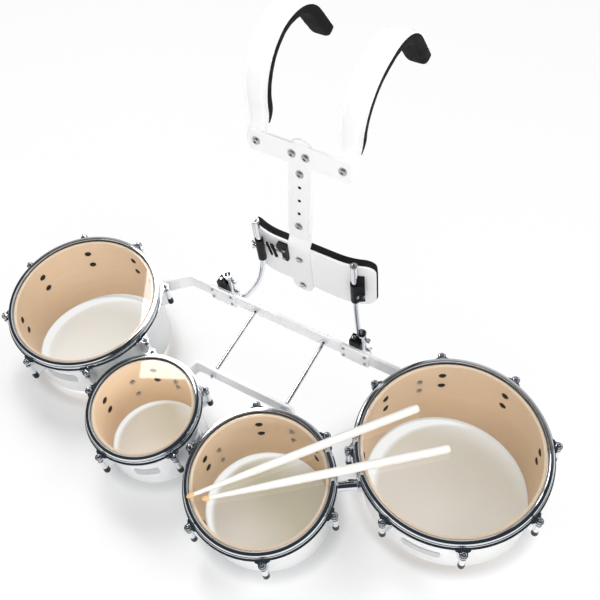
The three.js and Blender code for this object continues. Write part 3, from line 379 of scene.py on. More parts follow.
def stick_finish():
    f = Finish("white_stick")
    along = f.node("ShaderNodeSeparateXYZ", {}, {"Vector": f.place(grain=True)}, "Y")
    fibre = f.noise(260, 4, f.place((1, 0.04, 1), grain=True), 0.6)
    bare = 1 - (along + fibre * 0.002).over(0.0175, 0.0195)
    wood = f.mix(fibre.over(0.3, 0.7), (0.74, 0.45, 0.21), (0.86, 0.60, 0.33))
    paint = f.mix(fibre.over(0.4, 0.8), (0.88, 0.87, 0.83), (0.84, 0.825, 0.78))
    return f.done(f.surface(
        Base_Color=f.mix(bare, paint, wood), Roughness=0.32 + bare * 0.2 + fibre * 0.08,
        Normal=f.bump(fibre, 0.00025, 0.25)))


PAINT = powder_finish("white_powder_coat", (0.92, 0.92, 0.925), (0.95, 0.95, 0.955), 0.3)
BLACK = powder_finish("black_satin", (0.004, 0.004, 0.005), (0.012, 0.012, 0.013), 0.3, 0.16)
FOAM, STICK = foam_finish(), stick_finish()
print(len(bpy.data.materials), "finishes")

# %% [markdown]
# ## Forms
# A form is corners, faces, a grain coordinate for each face corner and a mark that picks
# the finish. Turned forms and swept tubes know which way their grain runs. Plates are cut
# from an outline with holes. Sheets join two grids of points.

# %% Forms
class Form:
    def __init__(self, points, faces, grain=None, marks=None):
        self.points = [Vector(p) for p in points]
        self.faces = faces
        self.grain = grain or [[(0, 0)] * len(face) for face in faces]
        self.marks = marks or [0] * len(faces)

    def moved(self, matrix):
        return Form([matrix @ p for p in self.points], self.faces, self.grain, self.marks)

    def marked(self, mark):
        return Form(self.points, self.faces, self.grain, [mark] * len(self.faces))


def turned(profile, sides=96, marks=None):
    """A closed profile of [radius, height] corners swept round Z."""
    count = len(profile)
    along = [0.0]
    for i in range(count):
        a, b = Vector(profile[i]), Vector(profile[(i + 1) % count])
        along.append(along[-1] + (b - a).length)
    reach = max(r for r, _ in profile)
    points, index = [], {}
    for i in range(sides):
        c, s = math.cos(2 * math.pi * i / sides), math.sin(2 * math.pi * i / sides)
        for j, (r, z) in enumerate(profile):
            key = (0 if r < 1e-6 else i, j)
            if key not in index:
                index[key] = len(points)
                points.append((r * c, r * s, z))
    faces, grain, mark_list = [], [], []

    def corner(i, j):
        return index[(0 if profile[j][0] < 1e-6 else i % sides, j)]

    for i in range(sides):
        for j in range(count):
            k = (j + 1) % count
            quad = [(i, j, j), (i + 1, j, j), (i + 1, k, j + 1), (i, k, j + 1)]
            ids, spots = [], []
            for a, b, c in quad:
                n = corner(a, b)
                if n not in ids:
                    ids.append(n)
                    spots.append((reach * 2 * math.pi * a / sides * MM, along[c] * MM))
            if len(ids) > 2:
                faces.append(ids)
                grain.append(spots)
                mark_list.append(marks[j] if marks else 0)
    return Form(points, faces, grain, mark_list)


def rounded_line(corners, round_off, steps=8):
    """A polyline, 2-D or 3-D, with its corners rounded."""
    line = [Vector(corners[0])]
    for before, here, after in zip(corners, corners[1:], corners[2:]):
        here = Vector(here)
        start = here + (Vector(before) - here).normalized() * round_off
        end = here + (Vector(after) - here).normalized() * round_off
        for i in range(steps + 1):
            t = i / steps
            line.append(start * (1 - t) ** 2 + here * (2 * t * (1 - t)) + end * t ** 2)
    return line + [Vector(corners[-1])]


def side_line(line, offset):
    """The line moved sideways by offset."""
    moved = []
    for i, here in enumerate(line):
        into = (here - line[max(i - 1, 0)]).normalized()
        out = (line[min(i + 1, len(line) - 1)] - here).normalized()
        along = (into + out).normalized()
        inner = 0 < i < len(line) - 1
        half = max(along.dot(out), 0.5) if inner else 1
        moved.append(Vector((here.x - along.y * offset / half, here.y + along.x * offset / half)))
    return moved


def strip(line, thick):
    """The outline of a bent strip seen on its edge."""
    return side_line(line, -thick / 2) + side_line(line, thick / 2)[::-1]


def circle(radius, sides=32, x=0, y=0):
    return [Vector((x + radius * math.cos(2 * math.pi * i / sides),
                    y + radius * math.sin(2 * math.pi * i / sides))) for i in range(sides)]


def rounded_rect(wide, tall, round_off, steps=10, x=0, y=0):
    shape = []
    for k, (sx, sy) in enumerate([(1, 1), (-1, 1), (-1, -1), (1, -1)]):
        for i in range(steps + 1):
            a = (k + i / steps) * math.pi / 2
            shape.append(Vector((x + sx * (wide / 2 - round_off) + round_off * math.cos(a),
                                 y + sy * (tall / 2 - round_off) + round_off * math.sin(a))))
    return shape


def plate(outline, low, high, holes=()):
    """A plate from an outline and its holes, from z = low to z = high."""
    rings = [[Vector((p.x, p.y, 0)) for p in ring] for ring in [outline, *holes]]
    flat = [p for ring in rings for p in ring]
    count = len(flat)
    points = [(p.x, p.y, low) for p in flat] + [(p.x, p.y, high) for p in flat]
    faces = []
    for a, b, c in tessellate_polygon(rings):
        faces += [[a, b, c], [a + count, c + count, b + count]]
    start = 0
    for ring in rings:
        for i in range(len(ring)):
            a, b = start + i, start + (i + 1) % len(ring)
            faces.append([a, b, b + count, a + count])
        start += len(ring)
    return Form(points, faces)


def tube_along(path, radius, sides=20):
    """A round bar along a line of points. The radius may change from point to point."""
    path = [Vector(p) for p in path]
    sizes = radius if hasattr(radius, "__len__") else [radius] * len(path)
    tangent = (path[1] - path[0]).normalized()
    up = tangent.orthogonal().normalized()
    points, done = [], [0.0]
    for i, here in enumerate(path):
        ahead = path[min(i + 1, len(path) - 1)] - path[max(i - 1, 0)]
        new = ahead.normalized()
        up = (tangent.rotation_difference(new) @ up).normalized()
        tangent = new
        side = tangent.cross(up)
        for k in range(sides):
            a = 2 * math.pi * k / sides
            points.append(here + (up * math.cos(a) + side * math.sin(a)) * sizes[i])
        if i:
            done.append(done[-1] + (here - path[i - 1]).length)
    faces, grain = [], []
    for i in range(len(path) - 1):
        for k in range(sides):
            j = (k + 1) % sides
            faces.append([i * sides + k, i * sides + j, (i + 1) * sides + j, (i + 1) * sides + k])
            grain.append([(k * 0.001, done[i] * MM), ((k + 1) * 0.001, done[i] * MM),
                          ((k + 1) * 0.001, done[i + 1] * MM), (k * 0.001, done[i + 1] * MM)])
    for row in (0, len(path) - 1):
        faces.append([row * sides + k for k in range(sides)])
        grain.append([(0, done[row] * MM)] * sides)
    return Form(points, faces, grain)


def sheet_between(outer, inner, grid_mark=0, rim_mark=0):
    """A closed body between two grids of points of one size."""
    rows, columns = len(outer), len(outer[0])
    points = [p for row in outer for p in row] + [p for row in inner for p in row]
    far = rows * columns
    faces, grain, marks = [], [], []

    def add(ids, mark):
        faces.append(ids)
        marks.append(mark)
        grain.append([((n % far) % columns * 0.004, (n % far) // columns * 0.01) for n in ids])

    for i in range(rows - 1):
        for j in range(columns - 1):
            a = i * columns + j
            add([a, a + 1, a + columns + 1, a + columns], grid_mark)
            add([far + a, far + a + columns, far + a + columns + 1, far + a + 1], grid_mark)
        for j in (0, columns - 1):
            a = i * columns + j
            add([a, a + columns, far + a + columns, far + a], rim_mark)
    for i in (0, rows - 1):
        for j in range(columns - 1):
            a = i * columns + j
            add([a, a + 1, far + a + 1, far + a], rim_mark)
    return Form(points, faces, grain, marks)


def make(name, body, forms, finishes, place=HOOP, stands_for=(), edge=None, angle=32):
    """One piece from its forms: a mesh in the row frame that rides on a body."""
    mesh = bpy.data.meshes.new(name)
    points, faces, grain, marks = [], [], [], []
    for form in forms if isinstance(forms, list) else [forms]:
        start = len(points)
        points += [place @ p for p in form.points]
        faces += [[n + start for n in face] for face in form.faces]
        grain += form.grain
        marks += form.marks
    mesh.from_pydata(points, [], faces)
    layer = mesh.uv_layers.new(name="grain")
    layer.data.foreach_set("uv", [c for face in grain for spot in face for c in spot])
    for finish in finishes if isinstance(finishes, list) else [finishes]:
        mesh.materials.append(finish)
    mesh.polygons.foreach_set("material_index", marks)
    work = bmesh.new()
    work.from_mesh(mesh)
    bmesh.ops.recalc_face_normals(work, faces=work.faces)
    work.to_mesh(mesh)
    work.free()
    mesh.shade_smooth()
    mesh.set_sharp_from_angle(angle=math.radians(angle))
    piece = bpy.data.objects.new(name, mesh)
    bpy.context.scene.collection.objects.link(piece)
    if edge:
        soften(piece, edge)
    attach(piece, body)
    if stands_for:
        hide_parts(*stands_for)
    return piece


def soften(piece, width):
    """A small rounding along sharp edges, so that they catch light."""
    bevel = piece.modifiers.new("soft_edges", "BEVEL")
    bevel.width, bevel.segments = width * MM, 2
    bevel.limit_method, bevel.angle_limit = "ANGLE", math.radians(38)
    bevel.harden_normals = True


# %% [markdown]
# ## Shells
# Each drum is a plain turned tube whose bottom is cut on a slant, so that the drums stand
# at one height on the carrier. The tube is turned first, and then the lowest rings are
# moved down onto the slanted plane. The small step under the bearing edge is where the
# wrap ends and the bare ply begins.

# %% Drums and shells
FLOOR_DEPTH = 161
# Besides the place, size and bottom cut of each drum, its list sets the strength of the painted shade
# on the floor inside it, its share of painted white glow there, and the brightness of the lamp under
# its head.
drums = {
    "12": dict(x=-398, y=152, r=152.4, slant=0.26, to=115, floor_shade=0.3, white=0.36, mouth=0.37,
               lugs=[129, 84, 39, -6, -51, -96, -141, 174]),
    "8": dict(x=-137, y=9, r=101.6, slant=FALL, to=90, floor_shade=0.62, white=0.08, mouth=0.8,
              lugs=[118, 46, -26, -98, -170]),
    "10": dict(x=137, y=-8, r=127, slant=FALL, to=90, floor_shade=1.0, white=0.08, mouth=0.25,
               lugs=[123, 63, 3, -57, -117, -177]),
    "13": dict(x=415, y=209, r=165.1, slant=0.26, to=85, floor_shade=0.5, white=0.18, mouth=0.23,
               lugs=[119, 74, 29, -16, -61, -106, -151, 164]),
}


def drum_at(drum):
    return HOOP @ at(drum["x"], drum["y"])


def bottom_depth(drum):
    along = drum["slant"] * math.cos(math.radians(drum["to"]))
    across = drum["slant"] * math.sin(math.radians(drum["to"])) - FALL
    return FLOOR_DEPTH + FALL * drum["y"] - drum["r"] * math.hypot(along, across)


def slanted(form, drum):
    bottom = -bottom_depth(drum)
    a = math.radians(drum["to"])
    for p in form.points:
        if p.z <= bottom + 12:
            p.z -= drum["slant"] * (p.x * math.cos(a) + p.y * math.sin(a))
    return form


for name, drum in drums.items():
    r, low = drum["r"], -bottom_depth(drum)
    profile = [
        (r - 0.7, low + 0.15), (r, low + 0.9), (r, low + 6), (r, low + 10), (r, -12.4),
        (r - 0.55, -12.0), (r - 0.55, -7.0), (r - 0.8, -6.1), (r - 1.5, -5.7),
        (r - 2.4, -5.9), (r - 6, -7.2), (r - 6, -17), (r - 6, low + 10), (r - 6, low + 6),
        (r - 6, low + 0.7), (r - 5.4, low + 0.15)]
    marks = [0, 0, 0, 0, 0, 2, 2, 2, 2, 2, 1, 1, 1, 1, 3, 3]
    shell = slanted(turned(profile, 176, marks), drum)
    make(f"drum_shell_{name}", "drums", shell, [WRAP, VENEER, EDGE, PLIES],
         drum_at(drum), [f"shell_{name}"])
print("shells", [round(bottom_depth(d)) for d in drums.values()])

# %% [markdown]
# ## Heads
# A head is one clear film that lies on the bearing edge, turns down in a small collar and
# is bonded into a flesh hoop. The film could be a flat disc, but the collar is what shows
# as a pale ring in the photograph, so it is turned as one thin closed body.

# %% Heads
for name, drum in drums.items():
    r = drum["r"]
    film = [
        (0, -5.0), (r - 5, -5.0), (r - 2.9, -5.02), (r - 1.2, -5.2), (r + 0.1, -5.9),
        (r + 0.9, -7.2), (r + 1.25, -9.2), (r + 1.35, -12.5), (r + 1.05, -12.5),
        (r + 0.93, -9.3), (r + 0.6, -7.4), (r - 0.1, -6.2), (r - 1.3, -5.5),
        (r - 2.9, -5.32), (r - 5, -5.3), (0, -5.3)]
    marks = [0] * 4 + [1] * 7 + [0] * 5
    make(f"head_film_{name}", "drums", turned(film, 176, marks), [FILM, COLLAR],
         drum_at(drum), [f"head_{name}"], angle=50)
    channel = [(r + 1.5, -9.1), (r + 1.9, -8.8), (r + 9.0, -8.8), (r + 9.4, -9.2),
               (r + 9.4, -13.8), (r + 9.0, -14.2), (r + 1.9, -14.2), (r + 1.5, -13.8)]
    make(f"flesh_hoop_{name}", "drums", turned(channel, 176), ALUMINIUM,
         drum_at(drum))

# %% [markdown]
# ## Counter hoops
# The hoop is one strip of steel with three flanges: a lip to play on, a step that presses
# the flesh hoop down, and a foot that is drawn out into an ear at each rod. The section is
# a bent line with a thickness, turned round the drum; each ear is a small drilled plate
# that flares out of the foot.

# %% Counter hoops
def hoop_section(r):
    neck, skirt = r + 2.2 + 1.15, r + 9.7 + 1.15
    line = [(neck + 5.9, -3.2), (neck + 5.1, -1.9), (neck, -1.15), (neck, -7.5),
            (skirt, -7.5), (skirt, -15.4), (skirt + 3.8, -15.4)]
    middle = [Vector(line[0])] + rounded_line(line[1:], 0.8, 4)
    return [(p.x, p.y) for p in strip(middle, 2.3)]


def ear_form(r, degrees):
    inside, reach = r + 9.7 + 1.6, r + 22
    outline = [(inside, -15)]
    outline += [(inside + 5 + 3 * t, -15 + 7.5 * t ** 0.6) for t in (0.15, 0.4, 0.7, 1)]
    for i in range(15):
        a = math.pi * (i / 14 - 0.5)
        outline.append((reach + 7 * math.cos(a), 7.5 * math.sin(a)))
    outline += [(inside + 5 + 3 * t, 15 - 7.5 * t ** 0.6) for t in (1, 0.7, 0.4, 0.15)]
    outline.append((inside, 15))
    tab = plate([Vector(p) for p in outline], -17, -14, [circle(3.1, 20, reach)])
    return tab.moved(turn_z(degrees))


for name, drum in drums.items():
    ring = turned(hoop_section(drum["r"]), 176)
    make(f"counter_hoop_{name}", "drums", ring, CHROME, drum_at(drum),
         [f"hoop_and_lugs_{name}"], angle=24)
    ears = [ear_form(drum["r"], a) for a in drum["lugs"]]
    make(f"hoop_ears_{name}", "drums", ears, CHROME, drum_at(drum), edge=0.7)

# %% [markdown]
# ## Tension rods and lugs
# A rod has a square head for the drum key, a washer that bears on the ear, and a shank
# that goes down into its lug. The lug is a slim turned barrel, bright at its mouth and
# with a domed foot in black satin, a painted reflection for the dark surroundings that the
# chrome mirrors there. A saddle holds the lug on the shell. Every drum has its own set, and
# each set is one piece.

# %% Rods and lugs
ROD_OUT = 22
EAR_TOP = -14


def rod_form():
    shank = turned([(0, -38), (2.2, -38), (2.6, -37), (2.6, EAR_TOP + 0.3), (5.4, EAR_TOP + 0.3),
                    (5.7, EAR_TOP + 0.8), (5.4, EAR_TOP + 1.4), (4.6, EAR_TOP + 1.7),
                    (4.3, EAR_TOP + 2.6), (0, EAR_TOP + 2.6)], 28)
    head = plate(rounded_rect(5.2, 5.2, 0.7, 3), EAR_TOP + 2.4, EAR_TOP + 7.6)
    top = turned([(0, EAR_TOP + 7.6), (2.5, EAR_TOP + 7.6), (2.1, EAR_TOP + 8.5),
                  (0, EAR_TOP + 8.9)], 16)
    return [shank, head, top]


def lug_form():
    # The seven lowest edges of the profile, the domed foot, take the black finish: a painted
    # reflection for the dark surroundings that chrome mirrors there.
    barrel = turned([
        (0, -80.8), (2.4, -80.6), (4.4, -79.6), (5.8, -77.8), (6.4, -75.5), (6.5, -73),
        (6.1, -67), (5.7, -58), (5.6, -50), (5.9, -39), (6.4, -32.5), (6.5, -31.6),
        (6.5, -28.2), (6.2, -27.4), (5.4, -27.0), (3.4, -27.0), (3.2, -28), (3.2, -38.5),
        (0, -38.5)], 36, [1] * 7 + [0] * 12)
    return barrel


def saddle_form(r):
    """A tapered foot between barrel and shell, drawn in around the screws."""
    rows_near, rows_far = [], []
    for i in range(13):
        up = -80 + 52 * i / 12
        swell = 1 - 0.30 * math.sin(math.pi * i / 12) ** 2
        end = 0.55 if i in (0, 12) else 0.88 if i in (1, 11) else 1
        near, far = [], []
        for k in range(7):
            side = (k / 6 - 0.5) * 2
            base = 7.2 * swell * end * side
            near.append(Vector((math.sqrt((r + 0.25) ** 2 - base ** 2) - r, base, up)))
            far.append(Vector((ROD_OUT - 3, 3.6 * swell * end * side, up)))
        rows_near.append(near)
        rows_far.append(far)
    return sheet_between(rows_near, rows_far)


for name, drum in drums.items():
    rods, lugs, feet = [], [], []
    for turn in drum["lugs"]:
        spot = turn_z(turn) @ at(drum["r"] + ROD_OUT)
        rods += [part.moved(spot) for part in rod_form()]
        lugs.append(lug_form().moved(spot))
        feet.append(saddle_form(drum["r"]).moved(turn_z(turn) @ at(drum["r"])))
    make(f"tension_rods_{name}", "drums", rods, CHROME, drum_at(drum), edge=0.25)
    make(f"lug_barrels_{name}", "drums", lugs, [CHROME, BLACK], drum_at(drum),
         angle=40)
    make(f"lug_feet_{name}", "drums", feet, CHROME, drum_at(drum), edge=0.6)
print("rods", sum(len(d["lugs"]) for d in drums.values()))

# %% [markdown]
# ## Screws through the shells
# Two dark screws hold each lug, and their broad heads sit on the veneer inside, where the
# clear heads show them. The brackets and rails are held the same way, with bright nuts on
# open washers. A bare plate marks the front of three drums.

# %% Screws and plates
def on_wall(drum, degrees, depth, inward=True):
    """A matrix with Z pointing off the wall, inside or outside the shell."""
    r = drum["r"] - 6 if inward else drum["r"]
    a = math.radians(degrees)
    out = Vector((math.cos(a), math.sin(a), 0)) * (-1 if inward else 1)
    up = Vector((0, 0, 1))
    side = up.cross(out)
    spot = Vector((r * math.cos(a), r * math.sin(a), -depth))
    turn = Matrix([[side[i], up[i], out[i]] for i in range(3)]).to_4x4()
    return Matrix.Translation(spot) @ turn


def truss_head(radius=5.6, tall=2.3):
    socket = radius * 0.34
    return turned([
        (0, tall * 0.45), (socket, tall * 0.45), (socket, tall * 0.98),
        (radius * 0.55, tall * 0.9), (radius * 0.85, tall * 0.6), (radius, tall * 0.2),
        (radius, 0.1), (0, 0.1)], 28)


def washer_nut():
    ring = turned([(3.2, 0.1), (6.2, 0.1), (6.4, 0.5), (6.2, 1.1), (3.2, 1.1)], 28)
    hexagon = plate(circle(4.9, 6), 1.1, 4.4, [circle(2.4, 18)])
    stud = turned([(0, 0.6), (2.1, 0.6), (2.1, 4.9), (1.7, 5.4), (0, 5.4)], 18)
    return [ring, hexagon, stud]


bracket_screws = {
    "12": [(-28, 72), (-28, 116), (62, 66), (62, 90)],
    "8": [(148, 67), (148, 120), (92, 73), (92, 96), (8, 72), (8, 112)],
    "10": [(166, 70), (166, 120), (92, 48), (92, 88), (37, 80), (37, 108)],
    "13": [(135, 55), (135, 91), (220.6, 80), (220.6, 108)],
}
for name, drum in drums.items():
    heads = [truss_head(7.4, 2.8).moved(on_wall(drum, a, depth))
             for a in drum["lugs"] for depth in (42, 83)]
    make(f"lug_screws_{name}", "drums", heads, DARK, drum_at(drum))
    nuts = [part.moved(on_wall(drum, a, depth))
            for a, depth in bracket_screws[name] for part in washer_nut()]
    make(f"bracket_nuts_{name}", "drums", nuts, ZINC, drum_at(drum))


def bare_plate(r, start, end, depth, tall):
    near, far = [], []
    steps = 24
    for i in range(steps + 1):
        share = i / steps
        a = math.radians(start + (end - start) * share)
        fall = min(share, 1 - share) * math.radians(end - start) * r
        cut = 3 - math.sqrt(max(9 - (3 - min(fall, 3)) ** 2, 0))
        rows = [-depth - tall / 2 + cut, -depth, -depth + tall / 2 - cut]
        near.append([Vector(((r + 0.15) * math.cos(a), (r + 0.15) * math.sin(a), z)) for z in rows])
        far.append([Vector(((r + 1.1) * math.cos(a), (r + 1.1) * math.sin(a), z)) for z in rows])
    return sheet_between(near, far)


for name, start, end, depth, tall in (
        ("12", -90, -65, 77, 26), ("8", -73, -46, 84, 24), ("13", -97, -72, 105, 26)):
    make(f"bare_plate_{name}", "drums", bare_plate(drums[name]["r"], start, end, depth, tall),
         BADGE, drum_at(drums[name]), edge=0.3)

# %% [markdown]
# ## Cast brackets between the drums
# The smallest drum is tied to its neighbours by two castings. Each has a pad that follows
# the shell on either side and a waisted web between them. A loft suits a casting: rounded
# sections are strung along the line between the drums and skinned.

# %% Brackets
def loft(rings):
    """A closed body through rings of points that all have one count."""
    count = len(rings[0])
    points = [p for ring in rings for p in ring]
    faces = [[i * count + k, i * count + (k + 1) % count,
              (i + 1) * count + (k + 1) % count, (i + 1) * count + k]
             for i in range(len(rings) - 1) for k in range(count)]
    faces += [list(range(count)), list(range(len(points) - count, len(points)))]
    return Form(points, faces)


def shell_pad(r, span, shift, sign, low, high, half):
    """A pad on a shell: its near face follows the shell and its far face is crowned."""
    near, far = [], []
    steps, rows = 16, 14
    for i in range(rows + 1):
        up = low + (high - low) * i / rows
        v = 2 * i / rows - 1
        rowN, rowF = [], []
        for k in range(steps + 1):
            u = 2 * k / steps - 1
            pinch = 1 - 0.22 * max(abs(v) - 0.7, 0) / 0.3 * abs(u)
            y = shift + half * u * pinch
            x = math.sqrt((r + 0.3) ** 2 - y ** 2)
            rise = 2.2 + 4.2 * (1 - u ** 6) * (1 - abs(v) ** 8)
            rowN.append(Vector((x if sign > 0 else span - x, y, up)))
            rowF.append(Vector((x + rise if sign > 0 else span - x - rise, y, up)))
        near.append(rowN)
        far.append(rowF)
    return sheet_between(near, far)


def web_form(start, end, shift, low, high):
    rings = []
    steps = 18
    for i in range(steps + 1):
        t = i / steps
        flare = abs(2 * t - 1) ** 3
        wide = 14 + 12 * flare
        tall = (high - low) * (0.86 + 0.14 * flare)
        ring = rounded_rect(wide, tall, 5, 4)
        rings.append([Vector((start + (end - start) * t, shift + p.x, (low + high) / 2 + p.y))
                      for p in ring])
    return loft(rings)


def bracket_forms(first, second, shift):
    dx, dy = second["x"] - first["x"], second["y"] - first["y"]
    span, turn = math.hypot(dx, dy), math.atan2(dy, dx)
    start = math.sqrt(first["r"] ** 2 - shift ** 2)
    end = span - math.sqrt(second["r"] ** 2 - shift ** 2)
    parts = [shell_pad(first["r"], span, shift, 1, -128, -62, 17),
             shell_pad(second["r"], span, shift, -1, -128, -62, 17),
             web_form(start + 2, end - 2, shift, -120, -70)]
    for up in (-75, -115):
        for x, way in ((start + 6.2, 1), (end - 6.2, -1)):
            for side in (-12.5, 12.5):
                head = truss_head(3.4, 2.2).moved(
                    at(x, shift + side, up) @ Matrix.Rotation(way * math.pi / 2, 4, "Y"))
                parts.append(head)
    place = at(first["x"], first["y"]) @ Matrix.Rotation(turn, 4, "Z")
    return [part.moved(place) for part in parts]


for node, first, second, shift in (("bracket_12_to_8", "12", "8", 0),
                                   ("bracket_8_to_10", "8", "10", 20)):
    make(f"{node}_casting", "drums", bracket_forms(drums[first], drums[second], shift), CAST,
         HOOP, [node], edge=0.8)

# %% [markdown]
# ## The tube to the largest drum
# A chrome tube ends in two flanges, each seated on a round shell. The flange is turned
# like any flange, and then the corners of its back face are slid along the tube's axis
# until they lie on the shell.

# %% Tube and flanges
def along_axis(start, heading, depth):
    spin = Matrix.Rotation(heading, 4, "Z") @ Matrix.Rotation(math.pi / 2, 4, "Y")
    return at(start.x, start.y, -depth) @ spin


def seat_on_shell(form, drum, heading, flat):
    """Slide the lowest corners of a flange along its axis onto the shell."""
    way = Vector((math.cos(heading), math.sin(heading)))
    centre, reach = Vector((drum["x"], drum["y"])), drum["r"] + 0.3
    for n in flat:
        p = form.points[n]
        gone = Vector((p.x, p.y)) - centre
        b, c = gone.dot(way), gone.dot(gone) - reach ** 2
        step = -b + math.sqrt(max(b * b - c, 0))
        p.x += way.x * step
        p.y += way.y * step
    return form


FLANGE_TURNS = 37, 220.6
ten, thirteen = drums["10"], drums["13"]
tube_start = polar(ten["x"], ten["y"], ten["r"] + 0.3, FLANGE_TURNS[0])
tube_end = polar(thirteen["x"], thirteen["y"], thirteen["r"] + 0.3, FLANGE_TURNS[1])
run = tube_end - tube_start
tube_heading = math.atan2(run.y, run.x)
pipe = turned([(10, 4.6), (11.6, 4.6), (12, 5), (12, run.length - 5),
               (11.6, run.length - 4.6), (10, run.length - 4.6)], 48)
make("chrome_tube_10_to_13", "drums", pipe.moved(along_axis(tube_start, tube_heading, 95)),
     CHROME, HOOP, ["tube_10_to_13"])
for name, drum, start, heading in (
        ("10", ten, tube_start, tube_heading),
        ("13", thirteen, tube_end, tube_heading + math.pi)):
    round_flange = turned([(0, -1), (17, -1), (17, 2.8), (16.4, 3.7), (15.6, 4), (15.2, 4.4),
                           (14.9, 5.2), (14.9, 11.3), (14.3, 12), (12.3, 12), (12.3, 4),
                           (0, 4)], 56)
    flat = [n for n, p in enumerate(round_flange.points) if p.z < 0]
    placed = round_flange.moved(along_axis(start, heading, 95))
    seat_on_shell(placed, drum, heading, flat)
    make(f"flange_on_{name}", "drums", placed, CAST, HOOP,
         [f"tube_flange_{name}"], edge=0.4)

# %% [markdown]
# ## Flat rails and cross rods
# Two flat bars on edge, bent at the ends so that a tab lies against a shell, carry the
# drums. Their outline seen from above is a bent strip, so a plate from that outline gives
# the bar with true bends. Two threaded rods with nuts hold the rails apart.

# %% Rails and cross rods
def meet_shell(start, heading, drum, turn):
    n = polar(0, 0, 1, turn)
    reach = drum["r"] + 0.3 + 3
    gone = (start.x - drum["x"]) * n.x + (start.y - drum["y"]) * n.y
    speed = polar(0, 0, 1, heading).dot(n)
    return polar(start.x, start.y, (reach - gone) / speed, heading)


REAR_Y, FRONT_Y, RAIL_LOW, RAIL_HIGH = 330, 158, -94, -56
bend = Vector((-253, REAR_Y))
left = meet_shell(bend, 222.7, drums["12"], 55)
right = meet_shell(bend, 0, drums["13"], 135)
rear_line = [polar(left.x, left.y, 30, 145), left, bend, right,
             polar(right.x, right.y, 30, 45)]
bend_left, bend_right = Vector((-121, FRONT_Y)), Vector((110, FRONT_Y))
left = meet_shell(bend_left, 257.2, drums["8"], 92)
right = meet_shell(bend_right, 291.3, drums["10"], 92)
front_line = [polar(left.x, left.y, 27, 182), left, bend_left, bend_right, right,
              polar(right.x, right.y, 27, 2)]
for name, corners in (("rear_rail", rear_line), ("front_rail", front_line)):
    outline = strip(rounded_line(corners, 9, 10), 6)
    make(f"{name}_bar", "drums", plate(outline, RAIL_LOW, RAIL_HIGH), PAINT,
         HOOP, [name], edge=0.9)


def thread(radius, low, high, pitch=1.0, deep=0.45):
    """The profile of a threaded stretch, as ridges."""
    ridges = []
    count = int((high - low) / pitch)
    for i in range(count):
        z = low + i * pitch
        ridges += [(radius - deep, z), (radius, z + pitch / 2)]
    return ridges + [(radius - deep, high)]


def hex_nut(radius, low, high, bore):
    ring = [(radius * math.cos(math.radians(30 + 60 * k)),
             radius * math.sin(math.radians(30 + 60 * k))) for k in range(6)]
    return plate([Vector(p) for p in ring], low, high, [circle(bore, 20)])


for name, x in (("left", -80), ("right", 87)):
    low, high = FRONT_Y - 12, REAR_Y + 12
    core = [(0, low), (3.4, low)] + thread(4.2, low + 0.8, low + 24)
    core += [(4.1, low + 24.6), (4.1, high - 24.6)] + thread(4.2, high - 24, high - 0.8)
    core += [(3.4, high), (0, high)]
    lying = at(x, 0, -75) @ Matrix.Rotation(-math.pi / 2, 4, "X")
    parts = [turned(core, 24).moved(lying)]
    for y in (FRONT_Y, REAR_Y):
        for start in (y - 3.3 - 5, y + 3.3):
            parts.append(hex_nut(7.6, start, start + 5, 4).moved(lying))
    make(f"threaded_rod_{name}", "drums", parts, CHROME, HOOP,
         [f"cross_rod_{name}"], edge=0.5, angle=28)

# %% [markdown]
# ## Receivers
# The hooked rods of the carrier come up into two upright tubes behind the rear rail. Each
# tube sits in a black block that a white clamp plate draws against the rail with four
# screws, and a knob and a wing screw pinch the rod.

# %% Receivers
RECEIVER_Y = REAR_Y + 3 + 18
receivers = {"left": -160, "right": 162}


def socket_head(radius, low, high, recess=None):
    """A screw head with a hexagonal socket, standing on z = low."""
    recess = recess or radius * 0.52
    hexagon = []
    for k in range(24):
        side, part = divmod(k, 4)
        a, b = math.radians(60 * side), math.radians(60 * side + 60)
        hexagon.append(Vector((recess * (math.cos(a) * (1 - part / 4) + math.cos(b) * part / 4),
                               recess * (math.sin(a) * (1 - part / 4) + math.sin(b) * part / 4))))
    tall = high - low
    rings = []
    for share, up in ((1, 0), (1, 0.5), (0.96, 0.74), (0.86, 0.92), (0.72, 1)):
        rings.append([Vector((p.x, p.y, low + up * tall)) for p in circle(radius * share, 24)])
    rings.append([Vector((p.x, p.y, high)) for p in hexagon])
    rings.append([Vector((p.x * 0.96, p.y * 0.96, low + tall * 0.25)) for p in hexagon])
    return loft(rings)


def wing_screw_forms(shank_long):
    """A wing screw along +X with the end of its shank at the origin."""
    hub = turned([(0, 0), (2.2, 0), (2.5, 0.3), (2.5, shank_long - 0.1), (4.2, shank_long),
                  (4.7, shank_long + 0.6), (4.5, shank_long + 4), (3.9, shank_long + 8.2),
                  (3.2, shank_long + 9), (0, shank_long + 9)], 28)
    x = shank_long
    corners = [(x + 2.4, 0), (x + 2.8, 3.6), (x + 4.2, 6.8), (x + 7.4, 12.2), (x + 10.6, 13),
               (x + 12, 11.4), (x + 10.4, 8.6), (x + 7.6, 5.6), (x + 7.2, 3.2), (x + 7.0, 0)]
    corners = [Vector(c) for c in corners]
    blades = []
    for sign in (1, -1):
        shape = [Vector((c.x, c.y * sign)) for c in rounded_line(corners, 1.1, 4)]
        blade = plate(shape, -1.5, 1.5)
        blades.append(blade.moved(Matrix.Rotation(math.pi / 2, 4, "X")))
    return [hub.moved(Matrix.Rotation(math.pi / 2, 4, "Y"))] + blades


